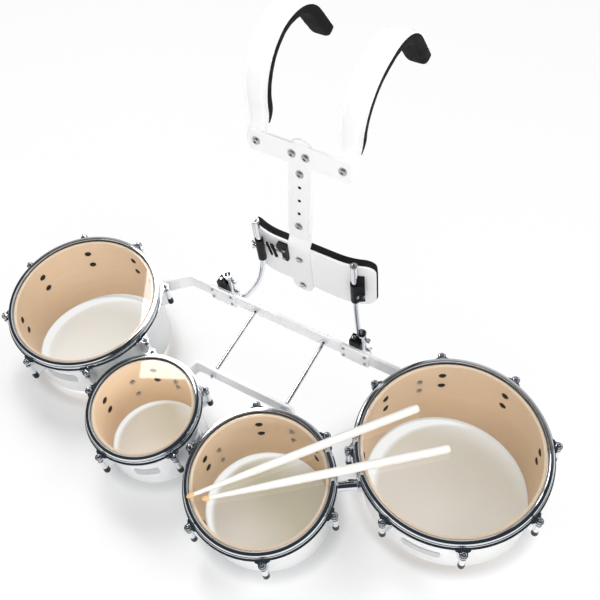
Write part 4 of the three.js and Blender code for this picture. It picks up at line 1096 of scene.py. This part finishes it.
def knob_forms(shank_long):
    wavy = []
    for k in range(96):
        a = 2 * math.pi * k / 96
        r = 5.2 - 0.35 * (0.5 - 0.5 * math.cos(24 * a))
        wavy.append(Vector((r * math.cos(a), r * math.sin(a))))
    grip = plate(wavy, shank_long + 0.6, shank_long + 7.2)
    core = turned([(0, 0), (2.5, 0), (2.5, shank_long), (4.4, shank_long), (4.4, shank_long + 8),
                   (3.6, shank_long + 8), (2.4, shank_long + 7.6), (0, shank_long + 7.6)], 28)
    spin = Matrix.Rotation(math.pi / 2, 4, "Y")
    return [core.moved(spin), grip.moved(spin)]


def block_outline():
    arc = [Vector((10.3 * math.cos(math.radians(a)), 10.3 * math.sin(math.radians(a))))
           for a in [-61 - 135.9 * i / 24 for i in range(25)]]
    return [Vector((-21, -17.7)), Vector((5, -17.7))] + arc + [Vector((-21, 3))]


for name, x in receivers.items():
    spot = at(x, RECEIVER_Y)
    pipe = turned([(7.5, -95), (9.6, -95), (10, -94.5), (10, -20.6), (9.6, -20), (7.6, -20),
                   (7, -20.5), (7, -94.5)], 48)
    make(f"receiver_pipe_{name}", "drums", pipe.moved(spot), CHROME, HOOP,
         [f"receiver_tube_{name}"], angle=28)
    blocky = plate(block_outline(), -92, -38).moved(spot)
    make(f"receiver_block_body_{name}", "drums", blocky, BLACK, HOOP,
         [f"receiver_block_{name}"], edge=1.2)
    cap = socket_head(4.2, -38, -34.6).moved(spot @ at(-14.5, -8))
    make(f"receiver_block_screw_{name}", "drums", cap, CHROME)
    wing = [part.moved(spot @ at(6.5, 0, -78)) for part in wing_screw_forms(4)]
    make(f"receiver_wing_{name}", f"receiver_screw_{name}", wing, CHROME, HOOP,
         [f"receiver_wing_screw_{name}"], edge=0.6)
    stud = [part.moved(spot @ at(6.5, 0, -40)) for part in knob_forms(4)]
    make(f"receiver_stud_{name}", "drums", stud, CHROME, HOOP,
         [f"receiver_knob_{name}"], edge=0.25)
    face = at(x - 4, REAR_Y - 3.3, -75) @ Matrix.Rotation(math.pi / 2, 4, "X")
    cover = plate(rounded_rect(64, 46, 6, 8), 0, 4).moved(face)
    make(f"clamp_cover_{name}", "drums", cover, PAINT, HOOP,
         [f"clamp_plate_{name}"], edge=0.8)
    screws = [socket_head(4.0, 4, 6.4).moved(face @ at(sx, sy))
              for sx in (-25, 23) for sy in (14, -12)]
    make(f"clamp_screws_{name}", "drums", screws, ZINC)

# %% [markdown]
# ## Belly plate
# The plate is a flat sheet in the middle and is rolled back at both sides round the
# player, with large rounded corners. It is built as two grids of points, front and back,
# whose height shrinks toward the corners.

# %% Belly plate
PLATE_X, PLATE_FRONT, HALF, FLAT, ARC = 15, 405, 144, 66, 160
PLATE_LOW, PLATE_HIGH, CORNER = -20, 110, 24


def roll(x, offset):
    """A point of the plate's curve, x from its middle, at a distance behind its front face."""
    beyond = max(abs(x) - FLAT, 0)
    turn = math.asin(min(beyond / ARC, 1))
    radius = ARC - offset
    side = math.copysign(1, x) * (min(abs(x), FLAT) + radius * math.sin(turn))
    return PLATE_X + side, PLATE_FRONT + ARC - radius * math.cos(turn)


def plate_columns(half, corner):
    ends = [half - corner + corner * math.sin(math.pi / 2 * i / 12) for i in range(13)]
    middle = [half - corner - (half - corner) * i / 22 for i in range(1, 23)]
    positive = sorted(set(ends + middle[:-1]))
    return [-x for x in positive[::-1]] + [0] + positive


def drop_at(x, half, corner):
    left = max(half - abs(x), 0)
    if left >= corner:
        return 0
    return corner - math.sqrt(max(corner ** 2 - (corner - left) ** 2, 0))


def rolled_sheet(half, low, high, corner, near_at, far_at, rows):
    near, far = [], []
    for x in plate_columns(half, corner):
        fall = drop_at(x, half, corner)
        near_row, far_row = [], []
        for v in rows:
            z = (low + high) / 2 + v * ((high - low) / 2 - fall)
            nx, ny = roll(x, near_at(x, v))
            fx, fy = roll(x, far_at(x, v))
            near_row.append(Vector((nx, ny, z)))
            far_row.append(Vector((fx, fy, z)))
        near.append(near_row)
        far.append(far_row)
    return sheet_between(near, far)


even = [i / 5 - 1 for i in range(11)]
sheet = rolled_sheet(HALF, PLATE_LOW, PLATE_HIGH, CORNER, lambda x, v: 0, lambda x, v: 4.5, even)
make("belly_plate_sheet", "carrier", sheet, PAINT, HOOP, ["belly_plate"],
     edge=1.1)

# %% [markdown]
# ## Belly foam
# A thick slab of dense foam is glued behind the plate. Its edge is cut straight, so the
# slab keeps its thickness up to the rim and is eased only there. The back is crowned
# toward the player and has the slow unevenness of real foam.

# %% Belly foam
def ripple(x, z):
    return 0.35 * math.sin(x * 0.071 + 1.3) * math.cos(z * 0.083) + 0.2 * math.sin(z * 0.15 + x * 0.05)


def foam_depth(x, v):
    side = abs(x) / (HALF + 3)
    rim = (1 - abs(v) ** 40) * (1 - side ** 80)
    full = (1 - abs(v) ** 3.2) * (1 - side ** 6)
    return 4.8 + 12 + 2.6 * max(rim, 0) ** 0.5 + 3.6 * full + ripple(x, v * 68) * rim


close = [math.sin(math.pi / 2 * (i / 10 - 1)) for i in range(21)]
pad = rolled_sheet(HALF + 3, PLATE_LOW - 3, PLATE_HIGH + 3, CORNER + 3,
                   lambda x, v: 4.8, foam_depth, close)
belly_foam = make("belly_foam", "carrier", pad, FOAM, HOOP, ["belly_pad"],
                  edge=1.6, angle=60)

# %% [markdown]
# ## Spine bars
# Two bars overlap and slide on each other to set the height of the straps. The upper bar
# is flat, with round ends and a row of holes. The lower bar is upright on the plate and
# then steps back behind the upper one, where two slots take the bolts. The step is a grid
# that follows the bent line, and the flat slotted stretch is a plate in the leaning frame.

# %% Spine bars
def up_along(z):
    return (z - FACE_Z) / math.cos(LEAN)


hole_ups = [up_along(168 + 32 * i) for i in range(5)]
CROSS_UP = up_along(342)
low, high = up_along(135), up_along(372)
outline = rounded_rect(48, high - low, 23.7, 16, 0, (low + high) / 2)
holes = [circle(3.6, 28, 0, up) for up in hole_ups]
holes += [circle(3.4, 24, x, CROSS_UP) for x in (-14, 14)]
make("upper_spine_bar", "spine", plate(outline, -5, 0, holes), PAINT, SPINE,
     ["upper_bar"], edge=0.7)

# Painted shade: a dark steel ring lines each of the three middle holes, so that they read dark like
# holes in shade.
shade_rings = [turned([(2.0, -4.8), (3.5, -4.8), (3.5, -0.2), (3.2, 0.1), (2.3, 0.1), (2.0, -0.2)],
                  28).moved(at(0, up)) for up in hole_ups[1:-1]]
make("spine_hole_shade_rings", "spine", shade_rings, DARK, SPINE)


def lean_point(up, deep):
    return Vector((FACE_Y + up * math.sin(LEAN) + deep * math.cos(LEAN),
                   FACE_Z + up * math.cos(LEAN) - deep * math.sin(LEAN)))


BEHIND = 7.8
corners = [Vector((402.2, -39)), Vector((402.2, 114)), lean_point(up_along(129), BEHIND),
           lean_point(up_along(150), BEHIND)]
middle = [corners[0] + (corners[1] - corners[0]) * s / 100 for s in (0, 1, 3, 6, 10, 15, 40)]
middle += rounded_line(corners, 7, 8)[1:]
near, far = [], []
front_line, back_line = side_line(middle, 2.5), side_line(middle, -2.5)
for place, a, b in zip(middle, front_line, back_line):
    left = place.y + 39
    cut = 0 if left > 23.7 else 23.7 - math.sqrt(max(23.7 ** 2 - (23.7 - left) ** 2, 0))
    half = 24 - cut
    near.append([Vector((half * k / 4, a.x, a.y)) for k in range(-4, 5)])
    far.append([Vector((half * k / 4, b.x, b.y)) for k in range(-4, 5)])
step = sheet_between(near, far)
top, bottom = up_along(345), up_along(150)
rounded_top = [Vector((-24, bottom)), Vector((24, bottom))]
rounded_top += [Vector((24 * math.cos(math.pi * i / 32), top - 24 + 24 * math.sin(math.pi * i / 32)))
                for i in range(33)]
slots = []
for up in (hole_ups[0], hole_ups[-1]):
    slots.append([Vector((3.4 * math.cos(a), up + (32 if math.sin(a) > 0 else 0) + 3.4 * math.sin(a)))
                  for a in [math.pi * (i + 0.5) / 12 for i in range(24)]])
straight = plate(rounded_top, -BEHIND - 2.5, -BEHIND + 2.5, slots)
inverse = HOOP.inverted() @ SPINE
make("lower_spine_bar", "carrier", [step, straight.moved(inverse)], PAINT, HOOP,
     ["lower_bar"], edge=0.7)

# %% [markdown]
# ## Crossbar and its bolts
# The crossbar is a plain flat bar with rounded corners. The four bolts in it have bright
# washers and button heads with a hexagonal socket, which looks dark because light enters
# it and does not come back.

# %% Crossbar and bolts
holes = [circle(3.4, 24, x) for x in (-89, -14, 14, 89)]
bar = plate(rounded_rect(212, 46, 12, 12), 0.3, 5.3, holes)
make("shoulder_crossbar", "spine", bar.moved(at(0, CROSS_UP)), PAINT, SPINE,
     ["crossbar"], edge=0.9)


def bolt_forms(grip, nut):
    washer = turned([(3, 0), (8.4, 0), (8.6, 0.3), (8.6, 1.0), (8.3, 1.4), (3, 1.4)], 40)
    head = socket_head(6.2, 1.4, 4.4, 3.3)
    end = -grip - 5.6 if nut else 0.3 - grip
    shank = [(0, end), (2.6, end), (3, end + 0.5), (3, 1.0), (0, 1.0)]
    parts = [washer, head, turned(shank, 20)]
    if nut:
        parts.append(hex_nut(6, -grip - 5.2, -grip - 0.6, 3.02))
        parts.append(turned([(3.1, -grip - 0.6), (7.4, -grip - 0.6), (7.4, -grip - 0.1),
                             (3.1, -grip - 0.1)], 32))
    return parts


def put_bolt(name, body, node, spot, grip, nut, frame_matrix):
    parts = [part.moved(spot) for part in bolt_forms(grip, nut)]
    make(name, body, parts, ZINC, frame_matrix, [node], edge=0.3)


for side, x in (("left", -1), ("right", 1)):
    put_bolt(f"crossbar_screw_{side}", "spine", f"crossbar_bolt_{side}",
             at(14 * x, CROSS_UP, 5.6), 10.3, False, SPINE)
    put_bolt(f"strap_pivot_{side}", "spine", f"strap_bolt_{side}",
             at(89 * x, CROSS_UP, 5.6), 8.6, True, SPINE)
for name, up in (("lower", hole_ups[0]), ("upper", hole_ups[-1])):
    put_bolt(f"spine_screw_{name}", "spine", f"spine_bolt_{name}", at(0, up, 0.3), 10.6, True,
             SPINE)


def slotted_forms(grip):
    washer = turned([(3, 0), (8.4, 0), (8.6, 0.3), (8.6, 1.0), (8.3, 1.4), (3, 1.4)], 40)
    base = turned([(0, 0.3 - grip), (3, 0.3 - grip), (3, 1.3), (6.2, 1.3), (6.2, 2.6), (0, 2.6)],
                  36)
    halves = []
    for way in (0, math.pi):
        arc = [Vector((6.1 * math.cos(way + a), 6.1 * math.sin(way + a)))
               for a in [math.radians(8 + 164 * i / 20) for i in range(21)]]
        halves.append(plate(arc, 2.5, 4.2))
    return [washer, base] + halves


for name, z, grip in (("upper", 72, 9.8), ("lower", -20, 5)):
    spot = at(0, PLATE_FRONT - 5.6, z) @ Matrix.Rotation(math.pi / 2, 4, "X") @ turn_z(28)
    parts = [part.moved(spot) for part in slotted_forms(grip)]
    make(f"belly_screw_{name}", "carrier", parts, ZINC, HOOP, [f"belly_bolt_{name}"],
         edge=0.5)

# %% [markdown]
# ## Shoulder straps
# Each strap is a formed strip that rises behind the crossbar, goes over the shoulder and
# turns down. Its route is drawn once from the side, and rows of points are laid across it.
# Two shallow grooves run near each edge, and they are modelled, because they catch light.

# %% Shoulder straps
def strap_route():
    low = lean_point(CROSS_UP - 21, 0)
    knee = lean_point(CROSS_UP + 26, 0)
    start = Vector((464, 402))
    out = Vector((start.x - 1.5, knee.y + 13))
    line = [low + (knee - low) * s for s in (0, 0.02, 0.06, 0.12, 0.25, 0.5, 0.75)]
    for i in range(9):
        t = i / 8
        line.append(knee * (1 - t) ** 2 + out * (2 * t * (1 - t)) + start * t ** 2)
    line += [polar(584, 402, 120, 180 - 150 * i / 40) for i in range(1, 41)]
    last = line[-1]
    line += [polar(last.x, last.y, 95 * s, -60)
             for s in (0.12, 0.24, 0.36, 0.48, 0.6, 0.7, 0.78, 0.85, 0.9, 0.94, 0.97, 0.99, 1)]
    return line


route = strap_route()
gone = [0.0]
for a, b in zip(route, route[1:]):
    gone.append(gone[-1] + (b - a).length)
whole = gone[-1]


def half_width(done, inset, both_ends=True):
    full = (42 + 6 * min(done / 126, 1)) / 2 - inset
    cut_end = 20 - math.sqrt(max(400 - (20 - min(whole - done, 20)) ** 2, 0))
    cut_start = 7 - math.sqrt(max(49 - (7 - min(done, 7)) ** 2, 0)) if both_ends else 0
    return full - cut_end * 0.8 - cut_start


def strap_centre(done, side):
    return side * (89 + 12.5 * min(done / (whole / 2), 1))


def strap_form(side):
    near, far = [], []
    outer, inner = side_line(route, 0), side_line(route, -3)
    for i, done in enumerate(gone):
        half, centre = half_width(done, 0), strap_centre(done, side)
        stops = [(0, 0)]
        for groove in (3.6, 6.8):
            stops += [(groove - 0.7, 0), (groove, 0.42), (groove + 0.7, 0)]
        stops = [(e, d) for e, d in stops if e < half * 0.6] + [(half * 0.75, 0)]
        across = [(-half + e, d) for e, d in stops] + [(0, 0)]
        across += [(half - e, d) for e, d in stops[::-1]]
        while len(across) < 17:
            across.insert(len(across) // 2, (across[len(across) // 2][0], 0))
        back = inner[i] - outer[i]
        back.normalize()
        near.append([Vector((centre + o, outer[i].x + back.x * d, outer[i].y + back.y * d))
                     for o, d in across])
        far.append([Vector((centre + o, inner[i].x, inner[i].y)) for o, d in across])
    return sheet_between(near, far)


for name, side in (("left", -1), ("right", 1)):
    make(f"strap_strip_{name}", f"shoulder_{name}", strap_form(side), PAINT,
         HOOP, [f"strap_{name}"], edge=0.7, angle=45)

# %% [markdown]
# ## Strap foam
# A thick foam strip is glued under each strap. It is flat where it meets the strap, its
# sides bulge a little past the strap's edge, and it is fullest in the middle. Its lower
# end is cut on a bevel. Closed rings of points are laid along the route and skinned.

# %% Strap foam
def foam_ring(half, deep, count=28):
    """Half a flattened oval on a flat base, as (across, depth) pairs."""
    ring = []
    for k in range(count + 1):
        a = math.pi * k / count
        c, s = math.cos(a), math.sin(a)
        power = 0.42
        ring.append((half * math.copysign(abs(c) ** power, c), deep * abs(s) ** (power * 1.15)))
    base = [(-half * (1 - 2 * k / 7), 0) for k in range(1, 7)]
    return ring + base


def foam_form(side):
    rings = []
    starts = [i for i, done in enumerate(gone) if done > 59]
    near_line, deep_line = side_line(route, -3.3), side_line(route, -24.3)
    first, last = gone[starts[0]], gone[starts[-1]]
    for i in starts:
        done = gone[i]
        from_start, from_end = done - first, last - done
        rise = min(from_start / 20, 1)
        fall = min(from_end / 9, 1)
        grown = (0.42 + 0.58 * math.sin(rise * math.pi / 2)) * (0.45 + 0.55 * math.sqrt(fall))
        wave = 1 + 0.02 * math.sin(done * 0.09) + 0.014 * math.sin(done * 0.23 + side)
        half = half_width(done, 0.2, False) + 0.9 * min(from_end / 20, 1)
        centre = strap_centre(done, side)
        into = (deep_line[i] - near_line[i]).normalized()
        ring = []
        for across, depth in foam_ring(half, 20.4 * grown * wave):
            sag = min(depth, 21)
            ring.append(Vector((centre + across, near_line[i].x + into.x * sag,
                                near_line[i].y + into.y * sag)))
        rings.append(ring)
    return loft(rings)


for name, side in (("left", -1), ("right", 1)):
    strip_foam = make(f"strap_foam_{name}", f"shoulder_{name}", foam_form(side), FOAM,
                      HOOP, [f"strap_pad_{name}"], edge=0.9, angle=50)

# %% [markdown]
# ## Rod holders
# The hooked rods slide in two black barrels on the belly plate. The left barrel has two
# leaning levers on its spindle beside a stepped block, and the right one is carried by one
# long block that slants back to the plate. A wing screw pinches the left rod.

# %% Rod holders
HOLDER_Y = 392


def barrel_form(x, low, high):
    body = turned([(7, low + 0.4), (7.4, low), (8.4, low), (9, low + 0.7), (9, high - 0.7),
                   (8.4, high), (7.4, high), (7, high - 0.4)], 48)
    return body.moved(at(x, HOLDER_Y))


def facing_front(x, y, z, turn=0):
    """A matrix whose Z points to the drums and whose Y points up."""
    return at(x, y, z) @ turn_z(turn) @ Matrix.Rotation(math.pi / 2, 4, "X")


def lever(x, thick):
    """A rounded lever on the spindle, leaning a little."""
    upright = at(x, HOLDER_Y, 81) @ Matrix.Rotation(math.radians(77), 4, "Y")
    return plate(rounded_rect(41, 4.6, 2.2, 6), -thick / 2, thick / 2).moved(upright)


stepped = [Vector(p) for p in ((-24.7, 59), (-24.7, 103), (-48.5, 103), (-48.5, 92),
                               (-37, 80), (-37, 59))]
left_parts = [barrel_form(-88, 35, 102), lever(-65.7, 2.2), lever(-54.7, 4.5),
              plate(stepped, 0, 11.7).moved(facing_front(0, PLATE_FRONT - 0.3, 0))]
spindle = turned([(0, 0), (3.2, 0), (3.6, 0.6), (3.6, 10), (5, 10), (5, 13), (3.6, 13),
                  (3.6, 19), (5, 19), (5, 22), (3.6, 22), (3.6, 38), (0, 38)], 40)
make("left_holder_spindle", "carrier",
     spindle.moved(at(-80.5, HOLDER_Y + 4.5, 81) @ Matrix.Rotation(math.pi / 2, 4, "Y")),
     ZINC)
make("left_rod_barrel", "carrier", left_parts, BLACK, HOOP,
     ["rod_holder_left"], edge=0.8)
bracket_bolts = [socket_head(3.6, 0, 2.6).moved(facing_front(x, PLATE_FRONT - 12, z))
                 for x, z in ((-31, 93), (-32.5, 67))]
make("left_holder_screws", "carrier", bracket_bolts, ZINC)
long_block = [(133, 384.8), (149.5, 394), roll(123, 0), roll(110, 0)]
right_parts = [barrel_form(128, 21, 82), plate([Vector(p) for p in long_block], 28, 82)]
make("right_rod_barrel", "carrier", right_parts, BLACK, HOOP,
     ["rod_holder_right"], edge=1.0)
side_spot = facing_front(142.5, 389.9, 45, 29.1)
square = plate(rounded_rect(9, 9, 1, 4), 1.4, 4.4)
washer = turned([(3, 0), (8.4, 0), (8.6, 0.3), (8.6, 1.0), (8.3, 1.4), (3, 1.4)], 40)
shank = turned([(0, -4.7), (3, -4.7), (3, 1.2), (0, 1.2)], 20)
make("right_holder_bolt", "carrier", [p.moved(side_spot) for p in (square, washer, shank)],
     CHROME, HOOP, ["holder_bolt_right"], edge=0.4)
wing_left = [part.moved(at(-94.5, HOLDER_Y, 71) @ turn_z(180)) for part in wing_screw_forms(3)]
make("left_holder_wing", "holder_screw", wing_left, CHROME, HOOP,
     ["holder_wing_screw_left"], edge=0.6)

# %% [markdown]
# ## Hooked rods
# A bent bar hangs the whole drum set on the carrier: a long leg in the holder, a curve
# under the rail and a short leg up into the receiver. The route is one smooth curve
# through the corners of the bend, and a round section is swept along it.

# %% Hooked rods
def smooth_path(points, steps):
    """A centripetal Catmull-Rom curve through the points."""
    points = [2 * points[0] - points[1], *points, 2 * points[-1] - points[-2]]
    line = []
    for p0, p1, p2, p3 in zip(points, points[1:], points[2:], points[3:]):
        d0, d1, d2 = ((b - a).length ** 0.5 for a, b in ((p0, p1), (p1, p2), (p2, p3)))
        m1 = ((p1 - p0) / d0 - (p2 - p0) / (d0 + d1) + (p2 - p1) / d1) * d1
        m2 = ((p2 - p1) / d1 - (p3 - p1) / (d1 + d2) + (p3 - p2) / d2) * d1
        for i in range(steps):
            t = i / steps
            line.append(p1 + m1 * t + (3 * (p2 - p1) - 2 * m1 - m2) * t ** 2
                        + (2 * (p1 - p2) + m1 + m2) * t ** 3)
    return line + [points[-2]]


def hooked_rod(x, low, high, receiver_x):
    top = high + 57

    def between(share, z):
        return Vector((x + (receiver_x - x) * share, HOLDER_Y + (RECEIVER_Y - HOLDER_Y) * share, z))

    corners = [Vector((x, HOLDER_Y, z)) for z in (top, high, low, low - 4)]
    for share, fall in ((0.18, 0.5), (0.5, 0.86), (0.72, 1), (0.92, 0.99)):
        corners.append(between(share, low - 4 + (-108 - low) * fall))
    corners += [Vector((receiver_x, RECEIVER_Y, z)) for z in (-99, -95, -40)]
    line = smooth_path(corners, 10)
    rod = tube_along(line, 6, 32)
    cap = turned([(0, top - 2), (6, top - 2), (6, top), (7.2, top), (7.6, top + 0.5),
                  (7.6, top + 3.3), (7.1, top + 4), (0, top + 4)], 40).moved(at(x, HOLDER_Y)).marked(1)
    screw = socket_head(4, top + 3.9, top + 6.4).moved(at(x, HOLDER_Y))
    return [rod, cap, screw]


for name, x, low, high in (("left", -88, 35, 102), ("right", 128, 21, 82)):
    make(f"bent_rod_{name}", "drums", hooked_rod(x, low, high, receivers[name]),
         [CHROME, ZINC], HOOP, [f"hooked_rod_{name}"], edge=0.4)

# %% [markdown]
# ## Sticks
# Two tapered sticks lie across the hoops. A stick is turned on a lathe, and so is its
# model: an acorn bead, a slim neck, a long taper and a full butt with a rounded end. The
# white lacquer stops at the bead.

# %% Sticks
def stick_form():
    long = [(0.0, 0.0), (0.9, 0.35), (2.1, 1.2), (3.3, 2.6), (4.3, 4.6), (4.95, 6.9),
            (5.1, 9.0), (4.9, 11.2), (4.3, 13.4), (3.65, 15.2), (3.35, 16.8), (3.4, 18.4),
            (3.6, 22), (3.72, 27), (4.2, 45), (4.9, 70), (5.9, 100), (6.8, 128), (7.4, 155),
            (7.8, 195), (8.0, 250), (8.0, 330), (8.0, 438), (7.9, 443), (7.4, 446.6),
            (6.4, 448.9), (4.6, 449.8), (0.0, 450)]
    return turned(long, 40)


for name, tip, butt, rise in (("upper", (43, -101), (336, 245), 8 * 0.36),
                              ("lower", (70, -92), (414, 197), 0)):
    heading = math.atan2(butt[1] - tip[1], butt[0] - tip[0])
    tilt = math.pi / 2 - math.asin(rise / (450 * 0.58))
    lie = (at(tip[0], tip[1], 8.3 - rise) @ Matrix.Rotation(heading, 4, "Z")
           @ Matrix.Rotation(tilt, 4, "Y"))
    make(f"drumstick_{name}", f"{name}_stick", stick_form().moved(lie), STICK,
         HOOP, [f"stick_{name}"], angle=60)

# %% [markdown]
# ## Floor, world and lamps
# The set stands on a seamless white sweep. The floor here is partly its own
# colour under the lamps and partly a plain white that only the camera, mirrors and glass
# see. The white share falls close to a drum, so the soft shadow stays, and it falls inside
# the drums. There the floor colour carries painted shade: a warm tan darkening, deepest
# toward the back of each drum, stands in for the shade of the walls and the light coloured
# by the wood, and a grey ring just outside each shell is a painted contact shadow. A bright
# crescent of painted white glow lies along the inner wall on the far side, standing in for
# floor lit through the head, and each drum adds its own share of painted white glow there.

# %% Floor
def floor_finish():
    f = Finish("white_sweep")
    dust = f.noise(40, 3)
    spot = f.place()
    east, north = (f.node("ShaderNodeSeparateXYZ", {}, {"Vector": spot}, axis) for axis in "XY")
    inside, rim, near, under, white = [], [], [], [], []
    for drum in drums.values():
        r, centre = drum["r"] * MM, HOOP @ Vector((drum["x"], drum["y"], -bottom_depth(drum)))
        away, aside = (f.node("ShaderNodeVectorMath", {"operation": "DISTANCE"},
                              {0: spot, 1: (centre.x + shift, centre.y, 0)}, "Value")
                       for shift in (0, r * 0.16))
        ring = 1 - away.over(r - 0.012, r - 0.002)
        before = f.node("ShaderNodeVectorMath", {"operation": "DISTANCE"},
                        {0: spot, 1: (centre.x, centre.y - 0.07, 0)}, "Value")
        # Painted shade on the floor inside each drum, deeper toward the back of it.
        behind = (north + east * 0.4).over(centre.y + centre.x * 0.4 - r,
                                           centre.y + centre.x * 0.4 + r)
        inside.append(ring * (drum["floor_shade"] * (0.2 + behind * 1.25)))
        # Painted contact shadow: a ring just outside each shell where the floor colour turns grey.
        under.append((1 - ring) * (1 - away.over(r + 0.005, r + 0.035)))
        # Painted light: a crescent of plain white glow along the inner wall on the far side, for floor
        # lit through the head.
        rim.append(ring * aside.over(r * 0.93, r * 1.06))
        # Painted light: each drum adds its own share of plain white glow over the floor inside it.
        white.append(ring * drum["white"])
        near.append(1 - before.over(r, r + 0.13))
    inside, rim, near, under, white = (sum(group)
                                       for group in (inside, rim, near, under, white))
    seen = None
    for kind in ("Is Camera Ray", "Is Glossy Ray", "Is Transmission Ray"):
        ray = f.node("ShaderNodeLightPath", out=kind)
        seen = ray if seen is None else ray.math("MAXIMUM", seen, ray)
    pale = f.mix(dust, (0.93, 0.93, 0.93), (0.96, 0.96, 0.96))
    # Painted shade: inside the drums the floor colour is mixed toward a warm tan, for the shade of the
    # walls and the light coloured by the wood.
    painted_shade_tint = f.mix(inside, pale, (0.56, 0.54, 0.33))
    # Painted contact shadow: the ring under each shell's edge is mixed toward grey.
    lit = f.surface(Base_Color=f.mix(under * 0.6, painted_shade_tint, (0.46, 0.47, 0.48)),
                    Roughness=0.9 + dust * 0.05)
    glow = f.node("ShaderNodeEmission", {}, {"Color": (1.0, 1.0, 1.0), "Strength": 1.0})
    # The glow share: plain white for camera, mirror and glass rays, lowered near the drums so lamp
    # shadows show, raised by the painted glow inside the drums and along their crescents.
    share = seen * (0.94 - near.math("MINIMUM", near, 1.0) * 0.78 + white + rim)
    return f.done(f.node("ShaderNodeMixShader", {}, {0: share, 1: lit, 2: glow}))


floor_mesh = bpy.data.meshes.new("studio_floor")
floor_mesh.from_pydata([(-9, -9, 0), (9, -9, 0), (9, 9, 0), (-9, 9, 0)], [], [[0, 1, 2, 3]])
floor_mesh.materials.append(floor_finish())
floor = bpy.data.objects.new("studio_floor", floor_mesh)
bpy.context.scene.collection.objects.link(floor)

# %% [markdown]
# The world is an even room, but mirrors need something dark to show their shape, so glossy
# rays see a pale wall low behind the carrier and an unlit studio overhead. One softbox
# hangs behind the carrier. Its lower left corner is where the smallest drum's clear head
# mirrors it in the photograph, and its edges run as that reflection's edges do. Two back
# lamps, a front lamp and a fill light the rest. The heads keep part of the light out, so a
# round lamp under each head gives the veneer the light that it has in the photograph.

# %% World and lamps
world = bpy.data.worlds.new("studio")
world.use_nodes = True
bpy.context.scene.world = world
w = Finish("studio", world.node_tree)
way = w.node("ShaderNodeTexCoord", out="Generated")
north, up = (w.node("ShaderNodeSeparateXYZ", {}, {"Vector": way}, axis) for axis in "YZ")
camera_ray = w.node("ShaderNodeLightPath", out="Is Camera Ray")
glossy_ray = w.node("ShaderNodeLightPath", out="Is Glossy Ray")
room = w.mix((north - up * 0.45).over(-0.22, 0.28), (0.03, 0.038, 0.045),
             (0.86, 0.87, 0.88))
soft = w.mix(glossy_ray, (0.13, 0.13, 0.133), room)
sky = w.mix(camera_ray, soft, (1.0, 1.0, 1.0))
background = w.node("ShaderNodeBackground", {}, {"Color": sky, "Strength": 1.0})
w.node("ShaderNodeOutputWorld", {}, {"Surface": background})


KEY, BACK, FRONT, FILL = 7.0, 3.0, 1.9, 4.2


def area_lamp(name, spot, toward, wide, tall, radiance, mirrored=True):
    """An area lamp of a given brightness per unit of its face."""
    data = bpy.data.lights.new(name, "AREA")
    data.shape, data.size, data.size_y = "RECTANGLE", wide, tall
    data.energy = radiance * math.pi * wide * tall
    lamp = bpy.data.objects.new(name, data)
    bpy.context.scene.collection.objects.link(lamp)
    lamp.matrix_world = (Matrix.Translation(spot)
                         @ (Vector(toward) - Vector(spot)).to_track_quat("-Z", "Y")
                         .to_matrix().to_4x4())
    lamp.visible_glossy = mirrored
    return lamp


def facing_lamp(name, corner, along, upward, wide, tall, radiance):
    """An area lamp from one corner and the directions of its two edges."""
    u, v = along.normalized(), upward.normalized()
    u = (u - v * v.dot(u)).normalized()
    lamp = area_lamp(name, corner + u * wide / 2 + v * tall / 2, (0, 0, 0), wide, tall, radiance)
    n = u.cross(v)
    lamp.matrix_world = Matrix.Translation(lamp.matrix_world.translation) @ Matrix(
        [[u[i], v[i], n[i]] for i in range(3)]).to_4x4()
    return lamp


mark = [HOOP @ Vector(c) for c in ((-982, 531, 1528), (-785, 676, 1549), (-1147, 860, 1439))]
softbox = facing_lamp("key_softbox", mark[0], mark[1] - mark[0], mark[2] - mark[0], 0.5, 0.8,
                      KEY)
area_lamp("left_back_lamp", (-1.1, 0.6, 1.9), (0, 0, 0.1), 1.2, 1.2, BACK, False)
area_lamp("right_back_lamp", (1.7, 0.6, 1.5), (0, 0, 0.1), 1.4, 1.4, BACK * 1.3, False)
area_lamp("front_lamp", (0.2, -1.7, 2.2), (0, 0, 0.1), 1.8, 1.8, FRONT, False)
area_lamp("front_fill", (1.5, -2.6, 1.5), (0, 0, 0.2), 2.4, 1.8, FILL, False)
for name, drum in drums.items():
    spot = drum_at(drum) @ Vector((0, 0, -6.4))
    lamp = area_lamp(f"mouth_{name}", spot, drum_at(drum) @ Vector((0, 0, -100)),
                     2 * (drum["r"] - 7) * MM, 2 * (drum["r"] - 7) * MM,
                     drum["mouth"] * math.pi / 4, False)
    lamp.data.shape = "DISK"
    lamp.visible_camera = False
print("softbox faces", [round(c, 2) for c in softbox.matrix_world.to_3x3() @ Vector((0, 0, -1))])

# %% [markdown]
# ## View
# The view is the plain standard one.

# %% Finish
bpy.context.scene.view_settings.view_transform = "Standard"
